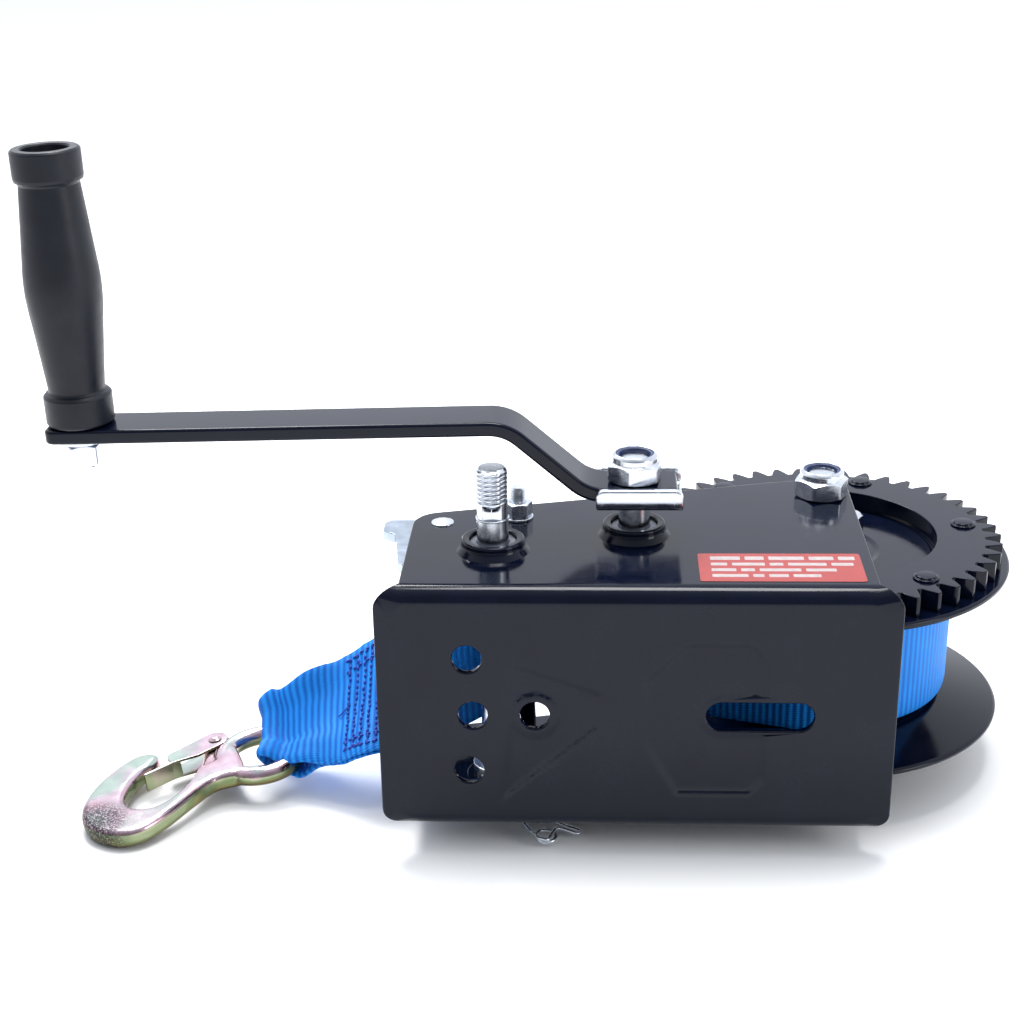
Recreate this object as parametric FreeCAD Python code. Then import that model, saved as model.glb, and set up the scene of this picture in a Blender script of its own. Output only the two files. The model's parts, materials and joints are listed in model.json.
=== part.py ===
import FreeCAD, Part
import math
import os

# Two-speed hand winch for a boat trailer, lying on its lower side plate. Millimetres.
# Origin: centre of the base plate's outer mounting face. X runs along the base plate,
# Y runs away from the mounting face into the winch, Z is parallel to every shaft.

V = FreeCAD.Vector
Z_AXIS = V(0, 0, 1)

# ---- pressed steel frame ----
SHEET = 3.0
BASE_LENGTH = 190.0
FRAME_WIDTH = 99.0
BEND_RADIUS = 6.5
BASE_CORNER = 8.0
SIDE_LEFT = -86.0
SIDE_RIGHT = 87.0
SIDE_DEPTH_LEFT = 73.6
SIDE_DEPTH_RIGHT = 116.2
SIDE_CORNER_LEFT = 12.0
SIDE_CORNER_RIGHT = 10.0
TOP = FRAME_WIDTH / 2
INNER = TOP - SHEET
FLOOR = -60.5

# ---- base plate: mounting holes, mounting slot and pressed stiffening fields (X, Z) ----
HOLE_LINE_Z = -1.2
BASE_HOLE_R = 5.5
BASE_HOLES = [(-61.5, HOLE_LINE_Z + 23), (-61.5, HOLE_LINE_Z - 23), (-59.7, HOLE_LINE_Z), (-36.8, HOLE_LINE_Z)]
SLOT_X = 45.6
SLOT_R = 5.75
SLOT_LENGTH = 39.4
PRESS_DEPTH = 0.8
PRESSED_FIELDS = [
    [(-44, 20), (-11, 8), (-13, -6), (-50, -38)],
    [(3, 13), (18, 28.5), (42, 28.5), (48, 22), (48, -28), (43, -34), (15, -34), (3, -12)],
]
LAND_R = 9.5

# ---- gear train ----
MODULE = 3.0
PRESSURE = math.radians(25.0)
ADDENDUM = 0.95
DEDENDUM = 1.25
BACKLASH = 0.35
DRUM_TEETH = 46
PINION_TEETH = 11
IDLER_TEETH = 26
SHAFT_A = V(0.0, 54.0, 0)
A_TO_DRUM = math.radians(28.27)
A_TO_B = math.radians(196.87)
DRUM_CENTRES = MODULE * (DRUM_TEETH + PINION_TEETH) / 2
B_CENTRES = MODULE * (IDLER_TEETH + PINION_TEETH) / 2
DRUM = SHAFT_A + V(math.cos(A_TO_DRUM), math.sin(A_TO_DRUM), 0) * DRUM_CENTRES
SHAFT_B = SHAFT_A + V(math.cos(A_TO_B), math.sin(A_TO_B), 0) * B_CENTRES
DRUM_GEAR_Z = (26.0, 34.0)
PINION_A_Z = (26.4, 34.8)
IDLER_Z = (36.4, 43.6)
PINION_B_Z = (35.4, 44.6)
PAWL_GAP_ANGLE = 70.0

# ---- shafts ----
SHAFT_R = 6.0
BUSH_R = 8.9
SHAFT_CLEARANCE = 0.05
COLLAR_HEIGHT = 5.0
COLLAR_R = 11.9
COLLAR_FLARE_R = 13.3
SHOULDER_Z = 63.0
THREAD_START_Z = 68.5
SHAFT_B_TOP = 82.5
SHAFT_A_TOP = 80.4

# ---- drum ----
FLANGE_R = 75.2
FLANGE_T = 2.9
COIL_R = 54.4
STRAP_WIDTH = 50.0
STRAP_T = 2.0
STRAP_Z = (-27.7, 22.3)
CORE_R = 20.0
SLEEVE_R = 9.0
HUB_R = 12.5
AXLE_R = 6.0
RIVET_CIRCLE_R = 59.0
RIVET_R = 4.8
RING_BORE_R = 46.5

# ---- crank ----
ARM_WIDTH = 22.0
ARM_T = 5.5
ARM_EDGE_R = 1.2
ARM_END_X = -222.0
ARM_CORNER_R = 4.0
SADDLE_T = 3.0
ARM_LOW_Z = SHOULDER_Z + SADDLE_T
ARM_RISE = 26.3
ARM_RUN = 30.5
ARM_BEND_R = 15.0
ARM_TILT = -1.05
CRANK_RADIUS = 209.7
GRIP_LENGTH = 103.0

# ---- small fixings on the frame ----
GUIDE_BOLT = V(-45.0, 69.6, 0)
PAWL_PIVOT = V(-74.3, 64.4, 0)
PAWL_Z = (38.6, 42.6)
PAWL_SWING = 9.0
PAWL_TIP_R = 16.2

# ---- hook ----
HOOK_T = 8.0
LATCH_SEAT_Z = 2.4
EYE_MEAN_R = 15.5
EYE_CENTRE = V(-151.0, 53.0, -48.4)
HOOK_U = V(-0.802, -0.589, -0.104).normalize()
HOOK_V = V(0.592, -0.806, 0.0).normalize()
HOOK_W = HOOK_U.cross(HOOK_V).normalize()
LOOP_CENTRE = EYE_CENTRE + (HOOK_U * -0.827 + HOOK_V * 0.562) * EYE_MEAN_R
TAIL_FLAT_START = V(-100.0, 56.5, -23.0)
LOOP_A = (TAIL_FLAT_START - LOOP_CENTRE).normalize()
LOOP_B = Z_AXIS.cross(LOOP_A).normalize()
LOOP_C = LOOP_A.cross(LOOP_B).normalize()


# ---------- helpers ----------
def at(point, z=0.0):
    return V(point.x, point.y, z)


def cyl(centre, z0, z1, radius):
    return Part.makeCylinder(radius, z1 - z0, at(centre, z0))


def tube(centre, z0, z1, outer, inner):
    return cyl(centre, z0, z1, outer).cut(cyl(centre, z0 - 1, z1 + 1, inner))


def cone(centre, z0, z1, r0, r1):
    return Part.makeCone(r0, r1, z1 - z0, at(centre, z0))


def fuse(shapes):
    out = shapes[0].multiFuse(shapes[1:]) if len(shapes) > 1 else shapes[0]
    return out.removeSplitter()


def revolve(points, centre):
    """Solid of revolution about the vertical through centre, from (radius, z) pairs."""
    wire = Part.makePolygon([V(r, 0, z) for r, z in points + points[:1]])
    solid = Part.Face(wire).revolve(V(0, 0, 0), Z_AXIS, 360)
    solid.translate(at(centre))
    return solid


def prism(points, z0, z1):
    wire = Part.makePolygon([V(x, y, z0) for x, y in points + points[:1]])
    return Part.Face(wire).extrude(V(0, 0, z1 - z0))


def hexagon(centre, z0, z1, across_flats, turn=0.0):
    r = across_flats / math.sqrt(3)
    corners = []
    for k in range(6):
        a = math.radians(turn + 60 * k)
        corners.append((centre.x + r * math.cos(a), centre.y + r * math.sin(a)))
    return prism(corners, z0, z1)


def local_solid(solid, origin, x_dir, y_dir, z_dir):
    """Carry a solid drawn about the world origin into the frame given by three directions."""
    m = FreeCAD.Matrix(
        x_dir.x, y_dir.x, z_dir.x, origin.x,
        x_dir.y, y_dir.y, z_dir.y, origin.y,
        x_dir.z, y_dir.z, z_dir.z, origin.z,
        0, 0, 0, 1,
    )
    out = solid.copy()
    out.transformShape(m)
    return out


def bevelled_hex(centre, z0, z1, across_flats, turn, top, bottom):
    """Hexagon whose corners are turned down by 30-degree chamfers at one or both ends."""
    reach = across_flats * 0.62
    face_r = across_flats * 0.475
    drop = (reach - face_r) * math.tan(math.radians(30))
    profile = [(0, z0)]
    profile += [(face_r, z0), (reach, z0 + drop)] if bottom else [(reach, z0)]
    profile += [(reach, z1 - drop), (face_r, z1)] if top else [(reach, z1)]
    profile += [(0, z1)]
    return hexagon(centre, z0, z1, across_flats, turn).common(revolve(profile, centre))


def lock_nut(centre, z0, across_flats, height, bore, turn=0.0):
    """Self-locking nut: hexagon below, round crimped collar above, seat for the insert."""
    hex_top = z0 + height * 0.68
    body = bevelled_hex(centre, z0, hex_top, across_flats, turn, True, True)
    r = across_flats * 0.455
    lip = across_flats * 0.375
    collar = revolve(
        [
            (0, hex_top - 0.5),
            (r, hex_top - 0.5),
            (r, z0 + height * 0.88),
            (r - height * 0.05, z0 + height * 0.96),
            (r - height * 0.12, z0 + height),
            (lip, z0 + height),
            (lip, z0 + height - 0.5),
            (0, z0 + height - 0.5),
        ],
        centre,
    )
    seat = cyl(centre, hex_top - 0.2, z0 + height + 1, lip)
    return fuse([body, collar]).cut(seat).cut(cyl(centre, z0 - 1, z0 + height + 1, bore))


def lock_insert(centre, z0, across_flats, height, bore):
    lip = across_flats * 0.375
    low = z0 + height * 0.68 - 0.2
    ring = tube(centre, low, z0 + height - 0.45, lip, bore)
    return ring


def plain_nut(centre, z0, across_flats, height, bore, turn=0.0):
    body = bevelled_hex(centre, z0, z0 + height, across_flats, turn, True, True)
    return body.cut(cyl(centre, z0 - 1, z0 + height + 1, bore))


def thread(centre, z0, z1, major, pitch):
    """Threaded length drawn as even V grooves, with a chamfered end at z1."""
    depth = pitch * 0.58
    profile = [(0, z0), (major, z0)]
    z = z0
    while z + pitch < z1 - depth:
        profile += [
            (major, z + pitch * 0.12),
            (major - depth, z + pitch * 0.45),
            (major - depth, z + pitch * 0.60),
            (major, z + pitch * 0.93),
        ]
        z += pitch
    profile += [(major, z1 - depth), (major - depth, z1), (0, z1)]
    return revolve(profile, centre)


def involute(angle):
    return math.tan(angle) - angle


def gear(centre, z0, z1, teeth, tooth_angle, bore):
    """Spur gear with one tooth centred on tooth_angle (degrees)."""
    pitch_r = MODULE * teeth / 2
    base_r = pitch_r * math.cos(PRESSURE)
    tip_r = pitch_r + ADDENDUM * MODULE
    root_r = pitch_r - DEDENDUM * MODULE
    half_pitch = math.pi / (2 * teeth) - BACKLASH / 2 / pitch_r
    start_r = max(base_r, root_r + 0.4)
    flank = [(root_r, None), (start_r, None)]
    for k in range(1, 6):
        flank.append((start_r + (tip_r - start_r) * k / 5, None))

    def half_angle(r):
        a = math.acos(min(1.0, base_r / max(r, base_r)))
        return half_pitch + involute(PRESSURE) - involute(a)

    points = []
    for tooth in range(teeth):
        mid = math.radians(tooth_angle) + 2 * math.pi * tooth / teeth
        left = [(r, mid - half_angle(r)) for r, _ in flank]
        right = [(r, mid + half_angle(r)) for r, _ in reversed(flank)]
        left[0] = (root_r, left[0][1] - 0.3 / root_r)
        right[-1] = (root_r, right[-1][1] + 0.3 / root_r)
        points += left + [(tip_r, mid)] + right
    outline = [(centre.x + r * math.cos(a), centre.y + r * math.sin(a)) for r, a in points]
    return prism(outline, z0, z1).cut(cyl(centre, z0 - 1, z1 + 1, bore))


def meshing_tooth_angle(driver_gap, line_to_mate, driver_teeth, mate_teeth):
    """Angle of a tooth on the mate that sits in the driver's gap nearest the line of centres."""
    pitch = 360.0 / driver_teeth
    offset = (driver_gap - line_to_mate + pitch / 2) % pitch - pitch / 2
    return line_to_mate + 180 - offset * driver_teeth / mate_teeth


def rod(points, radius):
    """Round wire through the given points, with ball joints at the bends."""
    pieces = []
    for a, b in zip(points[:-1], points[1:]):
        pieces.append(Part.makeCylinder(radius, (b - a).Length, a, b - a))
    for p in points[1:-1]:
        pieces.append(Part.makeSphere(radius, p))
    return fuse(pieces)


def save(name, shape):
    shape.exportStep("parts/" + name + ".step")


# ---------- pressed frame ----------
def pressed_field(outline):
    """Shallow stiffening field pressed inward: pocket in the outer face, matching boss inside."""
    mid_x = sum(x for x, _ in outline) / len(outline)
    mid_z = sum(z for _, z in outline) / len(outline)

    def ring(y, shrink):
        pts = [V(mid_x + (x - mid_x) * shrink, y, mid_z + (z - mid_z) * shrink) for x, z in outline]
        return Part.makePolygon(pts + pts[:1])

    pocket = Part.makeLoft([ring(-0.001, 1.0), ring(PRESS_DEPTH, 0.9)], True, True)
    boss = Part.makeLoft([ring(SHEET - 0.001, 1.0), ring(SHEET + PRESS_DEPTH, 0.9)], True, True)
    return pocket, boss


def frame_solid():
    outer = Part.makeBox(BASE_LENGTH, 125, FRAME_WIDTH, V(-BASE_LENGTH / 2, 0, -TOP))
    bends = [e for e in outer.Edges if e.CenterOfMass.y < 0.01 and abs(abs(e.CenterOfMass.z) - TOP) < 0.01]
    outer = outer.makeFillet(BEND_RADIUS, bends)
    inner = Part.makeBox(BASE_LENGTH + 2, 130, 2 * INNER, V(-BASE_LENGTH / 2 - 1, SHEET, -INNER))
    bends = [e for e in inner.Edges
             if abs(e.CenterOfMass.y - SHEET) < 0.01 and abs(abs(e.CenterOfMass.z) - INNER) < 0.01]
    inner = inner.makeFillet(BEND_RADIUS - SHEET, bends)
    channel = outer.cut(inner)

    side = prism(
        [(SIDE_LEFT, -1), (SIDE_RIGHT, -1), (SIDE_RIGHT, SIDE_DEPTH_RIGHT), (SIDE_LEFT, SIDE_DEPTH_LEFT)],
        -TOP - 1, TOP + 1)
    far = {SIDE_LEFT: SIDE_CORNER_LEFT, SIDE_RIGHT: SIDE_CORNER_RIGHT}
    for x, radius in far.items():
        edge = [e for e in side.Edges
                if e.CenterOfMass.y > 40 and abs(e.CenterOfMass.x - x) < 0.01 and abs(e.CenterOfMass.z) < 0.01
                and abs(e.Vertexes[0].X - e.Vertexes[1].X) < 0.01 and e.Length > 90
                and abs(e.Vertexes[0].Y - e.Vertexes[1].Y) < 0.01]
        side = side.makeFillet(radius, edge)
    strip = Part.makeBox(BASE_LENGTH, 5.6, FRAME_WIDTH, V(-BASE_LENGTH / 2, 0, -TOP))
    corners = [e for e in strip.Edges
               if abs(abs(e.CenterOfMass.x) - BASE_LENGTH / 2) < 0.01 and abs(abs(e.CenterOfMass.z) - TOP) < 0.01]
    strip = strip.makeFillet(BASE_CORNER, corners)
    body = channel.common(side.fuse(strip))

    for shaft in (SHAFT_A, SHAFT_B):
        for s in (1, -1):
            profile = [
                (BUSH_R, s * INNER), (COLLAR_FLARE_R, s * INNER), (COLLAR_FLARE_R, s * TOP),
                (COLLAR_FLARE_R - 0.9, s * (TOP + 0.4)), (COLLAR_R + 0.1, s * (TOP + 1.2)),
                (COLLAR_R, s * (TOP + 2.2)), (COLLAR_R, s * (TOP + COLLAR_HEIGHT - 0.7)),
                (COLLAR_R - 0.7, s * (TOP + COLLAR_HEIGHT)), (BUSH_R + 0.7, s * (TOP + COLLAR_HEIGHT)),
                (BUSH_R, s * (TOP + COLLAR_HEIGHT - 0.6)),
            ]
            body = body.fuse(revolve(profile, shaft))
            body = body.cut(Part.makeCylinder(BUSH_R, 30, at(shaft, s * (INNER - 10)), V(0, 0, s)))
    for centre, radius in ((DRUM, AXLE_R + 0.15), (GUIDE_BOLT, 3.15)):
        body = body.cut(cyl(centre, -80, 80, radius))
    body = body.cut(cyl(PAWL_PIVOT, 0, 80, 3.0))

    for outline in PRESSED_FIELDS:
        pocket, boss = pressed_field(outline)
        for x, z in BASE_HOLES:
            land = Part.makeCylinder(LAND_R, 12, V(x, -2, z), V(0, 1, 0))
            pocket = pocket.cut(land)
            boss = boss.cut(land)
        body = body.fuse(boss).cut(pocket)
    for x, z in BASE_HOLES:
        body = body.cut(Part.makeCylinder(BASE_HOLE_R, 12, V(x, -2, z), V(0, 1, 0)))
    slot = Part.makeBox(SLOT_LENGTH - 2 * SLOT_R, 12, 2 * SLOT_R,
                        V(SLOT_X - SLOT_LENGTH / 2 + SLOT_R, -2, HOLE_LINE_Z - SLOT_R))
    for s in (-1, 1):
        end = V(SLOT_X + s * (SLOT_LENGTH / 2 - SLOT_R), -2, HOLE_LINE_Z)
        slot = slot.fuse(Part.makeCylinder(SLOT_R, 12, end, V(0, 1, 0)))
    body = body.cut(slot)
    return body.removeSplitter()




# ---------- fixed fittings ----------
def shaft_bushes():
    out = []
    for shaft in (SHAFT_A, SHAFT_B):
        for s in (1, -1):
            z0, z1 = sorted((s * INNER, s * (TOP + COLLAR_HEIGHT - 1.5)))
            out.append(tube(shaft, z0, z1, BUSH_R, SHAFT_R + SHAFT_CLEARANCE))
    return Part.makeCompound(out)


def pawl_pin():
    pin = revolve(
        [(0, 26.0), (3.2, 26.0), (3.6, 26.6), (3.6, 35.6), (6.5, 35.6), (6.5, PAWL_Z[0] - 0.3),
         (3.95, PAWL_Z[0] - 0.3), (3.95, PAWL_Z[1] + 0.3), (6.5, PAWL_Z[1] + 0.3), (6.5, INNER),
         (3.0, INNER), (3.0, TOP), (4.5, TOP), (4.4, TOP + 0.6), (3.2, TOP + 1.2), (1.4, TOP + 1.45),
         (0, TOP + 1.5)],
        PAWL_PIVOT)
    return pin


def pawl_spring():
    coil = Part.makeHelix(1.5, 6.0, 4.7)
    section = Part.Wire(Part.makeCircle(0.6, V(4.7, 0, 0), V(0, 1, 0)))
    spring = Part.Wire(coil).makePipeShell([section], True, True)
    spring.translate(V(PAWL_PIVOT.x, PAWL_PIVOT.y, 28.2))
    low = V(PAWL_PIVOT.x + 4.7, PAWL_PIVOT.y, 28.2)
    high = V(PAWL_PIVOT.x + 4.7, PAWL_PIVOT.y, 34.2)
    leg_low = rod([low, low + V(0, 6, 0), low + V(9, 8, 0)], 0.6)
    leg_high = rod([high, high + V(0, -9, 0.2), high + V(-6, -15, 0.6)], 0.6)
    return fuse([spring, leg_low, leg_high])


def guide_bolt():
    head = bevelled_hex(GUIDE_BOLT, -TOP - 4.0, -TOP, 10.0, 10, False, True)
    shank = cyl(GUIDE_BOLT, -TOP - 0.1, 49.0, 3.0)
    return fuse([head, shank, thread(GUIDE_BOLT, 48.9, 62.6, 3.0, 1.0)])


def axle_bolt():
    head = bevelled_hex(DRUM, FLOOR, FLOOR + 8.0, 19.0, 0, False, True)
    shank = cyl(DRUM, FLOOR + 7.9, 48.0, AXLE_R)
    return fuse([head, shank, thread(DRUM, 47.9, 59.0, AXLE_R, 1.75)])


# ---------- drum ----------
def drum_ring_gear():
    ring = gear(DRUM, DRUM_GEAR_Z[0], DRUM_GEAR_Z[1], DRUM_TEETH,
                math.degrees(A_TO_DRUM) + 180, RING_BORE_R)
    for p in rivet_points():
        ring = ring.cut(cyl(p, 0, 50, 3.0))
    return ring


def rivet_points():
    out = []
    for k in range(6):
        a = math.radians(6.5 + 60 * k)
        out.append(DRUM + V(math.cos(a), math.sin(a), 0) * RIVET_CIRCLE_R)
    return out


def upper_flange():
    """Pressed disc: flat rim under the ring gear, dished centre seen through the ring's bore."""
    z1 = DRUM_GEAR_Z[0]
    z0 = z1 - FLANGE_T
    disc = revolve(
        [(HUB_R, z0), (FLANGE_R - 0.8, z0), (FLANGE_R, z0 + 0.8), (FLANGE_R, z1 - 0.8),
         (FLANGE_R - 0.8, z1), (44.5, z1), (43.6, z1 + 0.6), (24.0, z1 + 0.6), (22.0, z1),
         (HUB_R, z1)],
        DRUM)
    for p in rivet_points():
        disc = disc.cut(cyl(p, 0, 50, 3.0))
    return disc.cut(cyl(anchor_point(), 0, 50, 4.2))


def lower_flange():
    """Dished disc: flat under the wound strap, coned away from it toward the rim."""
    z = STRAP_Z[0] - 0.8
    disc = revolve(
        [(HUB_R, z), (46.0, z), (50.0, z - 0.6), (FLANGE_R - 1.2, z - 7.4), (FLANGE_R, z - 8.2),
         (FLANGE_R - 0.4, z - 9.6), (FLANGE_R - 2.0, z - 10.2), (49.0, z - 3.4), (45.5, z - 2.8),
         (HUB_R, z - 2.8)],
        DRUM)
    return disc.cut(cyl(anchor_point(), -60, 0, 4.2))


def anchor_point():
    a = math.radians(60)
    return DRUM + V(math.cos(a), math.sin(a), 0) * 28.0


def drum_rivets():
    out = []
    z0 = DRUM_GEAR_Z[0] - FLANGE_T
    z1 = DRUM_GEAR_Z[1]
    for p in rivet_points():
        out.append(revolve(
            [(0, z0 - 0.5), (2.9, z0 - 0.5), (3.0, z0), (3.0, z1), (RIVET_R, z1), (RIVET_R, z1 + 0.6),
             (RIVET_R - 0.7, z1 + 1.3), (RIVET_R - 2.2, z1 + 1.8), (0, z1 + 1.8)], p))
    return Part.makeCompound(out)


def anchor_bolt():
    p = anchor_point()
    z_top = DRUM_GEAR_Z[0] + 0.6
    z_low = STRAP_Z[0] - 3.6
    head = bevelled_hex(p, z_top, z_top + 5.0, 13.0, 0, True, False)
    shank = cyl(p, z_low - 8.5, z_top + 0.1, 4.0)
    nut = bevelled_hex(p, z_low - 6.5, z_low, 13.0, 15, True, True)
    return fuse([head, shank, nut])


def strap_coil():
    coil = tube(DRUM, STRAP_Z[0], STRAP_Z[1], COIL_R, CORE_R + 0.2)
    return coil.cut(cyl(anchor_point(), -60, 60, 4.2))


# ---------- shafts ----------
def shaft(centre, top_z, low_z):
    body = cyl(centre, low_z, SHOULDER_Z - 0.9, SHAFT_R)
    low_chamfer = cone(centre, FLOOR, low_z, SHAFT_R - 0.8, SHAFT_R)
    ring = revolve([(0, SHOULDER_Z - 1.0), (SHAFT_R - 0.1, SHOULDER_Z - 1.0), (SHAFT_R + 0.35, SHOULDER_Z - 0.7),
                    (SHAFT_R + 0.35, SHOULDER_Z - 0.2), (SHAFT_R - 0.1, SHOULDER_Z), (0, SHOULDER_Z)], centre)
    flats = cyl(centre, SHOULDER_Z - 0.1, THREAD_START_Z, SHAFT_R - 0.25)
    keep = Part.makeBox(30, 9.4, 30, V(centre.x - 15, centre.y - 4.7, SHOULDER_Z - 0.1))
    flats = flats.common(keep)
    top = thread(centre, THREAD_START_Z, top_z, SHAFT_R - 0.1, 1.75)
    return fuse([body, low_chamfer, ring, flats, top])


def clip_frame():
    """Direction of the spring clip under shaft B and the direction square to it."""
    along = V(0.46, -0.888, 0).normalize()
    return along, Z_AXIS.cross(along)


CLIP_Z = -57.3


def crank_spacer(centre, z0, z1):
    return tube(centre, z0, z1, 8.4, SHAFT_R)


def spring_clip():
    """Spring cotter: one leg through the shaft, the other leg sprung round it, eye and finger loop outside."""
    along, across = clip_frame()
    o = at(SHAFT_B, CLIP_Z)

    def p(a, c, z=0.0):
        return o + along * a + across * c + V(0, 0, z)

    through = rod([p(-9, 0), p(30, 0)], 0.7)
    outer = [p(30, 0), p(33, 2.0)]
    for k in range(9):
        t = math.radians(-80 + 40 * k)
        outer.append(p(35.5 + 4.0 * math.cos(t), 3.0 + 4.0 * math.sin(t), 0.16 * k - 0.7))
    eye = rod(outer, 0.7)
    bow = [outer[-1], p(33, 9.0), p(36, 12.5), p(38.5, 15.5, -0.6), p(36, 18.0, -1.0), p(31.5, 14.0, -0.6),
           p(24, 9.0), p(12, 7.6), p(6, 8.4), p(0, 8.6), p(-6, 7.4), p(-10, 9.0)]
    return fuse([through, eye, rod(bow, 0.7)])


# ---------- crank ----------
ARM_BEND_X = -47.0
TILT_CENTRE = V(ARM_BEND_X, SHAFT_A.y, ARM_LOW_Z + ARM_RISE + ARM_T / 2)


def tilt(shape):
    out = shape.copy()
    out.rotate(TILT_CENTRE, V(0, 1, 0), ARM_TILT)
    return out


GRIP_AT = V(SHAFT_A.x - CRANK_RADIUS, SHAFT_A.y, 0)


def crank_arm():
    z0 = ARM_LOW_Z
    z1 = z0 + ARM_RISE
    t = ARM_T
    shift = t * math.tan(math.atan2(ARM_RISE, ARM_RUN) / 2)
    low_x = -17.5
    high_x = low_x - ARM_RUN
    tail = (high_x - ARM_END_X + 3) * math.tan(math.radians(-ARM_TILT))
    lower = [(16, z0), (low_x - shift / 2, z0), (high_x - shift / 2, z1), (ARM_END_X - 3, z1 - tail)]
    upper = [(ARM_END_X - 3, z1 + t - tail), (high_x + shift / 2, z1 + t), (low_x + shift / 2, z0 + t), (16, z0 + t)]
    wire = Part.makePolygon([V(x, SHAFT_A.y - ARM_WIDTH / 2, z) for x, z in lower + upper + lower[:1]])
    arm = Part.Face(wire).extrude(V(0, ARM_WIDTH, 0))
    for heights, radius in (((z0 + t, z1), ARM_BEND_R), ((z0, z1 + t), ARM_BEND_R + t)):
        bends = []
        for e in arm.Edges:
            c = e.CenterOfMass
            if abs(e.Length - ARM_WIDTH) < 0.01 and high_x - 5 < c.x < low_x + 5:
                if min(abs(c.z - h) for h in heights) < 0.01:
                    bends.append(e)
        arm = arm.makeFillet(radius, bends)
    # square outer end with rounded corners, then softened long edges
    keep = Part.makeBox(20 - ARM_END_X, ARM_WIDTH, 60, V(ARM_END_X, SHAFT_A.y - ARM_WIDTH / 2, z0 - 10))
    corners = [e for e in keep.Edges if abs(e.CenterOfMass.x - ARM_END_X) < 0.01 and abs(e.Length - 60) < 0.01]
    arm = arm.common(keep.makeFillet(ARM_CORNER_R, corners))
    long_edges = []
    for e in arm.Edges:
        side = abs(abs(e.CenterOfMass.y - SHAFT_A.y) - ARM_WIDTH / 2)
        if side < 0.01 and e.Length > 7.0:
            long_edges.append(e)
    arm = arm.makeFillet(ARM_EDGE_R, long_edges)
    grip_hole = tilt(cyl(GRIP_AT, z1 - 4, z1 + t + 4, 5.05))
    return arm.cut(cyl(SHAFT_A, z0 - 1, z0 + t + 1, SHAFT_R + 0.05)).cut(grip_hole)


def crank_saddle():
    """Zinc channel under the arm: flat web, upturned front and rear lips that stop the arm turning."""
    half = ARM_WIDTH / 2 + 0.1
    z0 = SHOULDER_Z
    z1 = ARM_LOW_Z + ARM_T + 0.6
    length = 32.6
    outer = Part.makeBox(length, 2 * (half + SADDLE_T), z1 - z0, V(-14.6, SHAFT_A.y - half - SADDLE_T, z0))
    low_edges = [e for e in outer.Edges
                 if abs(e.CenterOfMass.z - z0) < 0.01 and abs(e.Length - length) < 0.01]
    outer = outer.makeFillet(4.2, low_edges)
    trough = Part.makeBox(length + 2, 2 * half, 20, V(-15.6, SHAFT_A.y - half, ARM_LOW_Z))
    low_edges = [e for e in trough.Edges
                 if abs(e.CenterOfMass.z - ARM_LOW_Z) < 0.01 and abs(e.Length - length - 2) < 0.01]
    saddle = outer.cut(trough.makeFillet(ARM_EDGE_R - 0.1, low_edges))
    flats = cyl(SHAFT_A, z0 - 1, ARM_LOW_Z + 1, SHAFT_R - 0.2)
    keep = Part.makeBox(30, 9.44, 30, V(-15, SHAFT_A.y - 4.72, z0 - 1))
    return saddle.cut(flats.common(keep))


def grip_base_z():
    # top face of the arm at the grip, before the arm is tilted
    return ARM_LOW_Z + ARM_RISE + ARM_T


def grip_solid():
    z = grip_base_z() + 0.5
    h = GRIP_LENGTH
    outline = [
        (5.07, 0.0), (12.1, 0.0), (12.7, 0.5), (12.85, 1.2), (12.85, 10.6), (12.5, 11.4), (11.6, 11.9), (10.7, 12.4),
        (10.62, 13.4), (11.0, 17.5), (11.72, 25.0), (12.72, 35.0), (13.5, 42.0), (13.98, 47.0), (14.18, 51.0),
        (14.15, 54.5), (13.95, 58.5), (13.2, 66.5), (12.3, 77.0), (11.45, 86.5), (11.1, 90.2), (11.3, 91.0),
        (12.2, 91.5), (12.7, 92.3), (12.75, h - 1.8), (12.4, h - 0.7), (11.6, h), (9.2, h), (8.6, h - 0.6),
        (8.6, h - 8.5), (5.07, h - 8.5),
    ]
    return tilt(revolve([(r, z + zz) for r, zz in outline], GRIP_AT))


def grip_bolt():
    z = grip_base_z()
    top = z + 0.5 + GRIP_LENGTH - 8.1
    shank = cyl(GRIP_AT, z - ARM_T, top + 0.1, 5.0)
    head = revolve([(0, top), (7.6, top), (7.6, top + 2.4), (6.6, top + 4.6), (3.0, top + 5.4), (0, top + 5.4)], GRIP_AT)
    head = head.cut(hexagon(GRIP_AT, top + 2.2, top + 8, 6.0))
    low = cyl(GRIP_AT, z - ARM_T - 12.0, z - ARM_T + 0.1, 5.0)
    return tilt(fuse([shank, head, low]))


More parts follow.
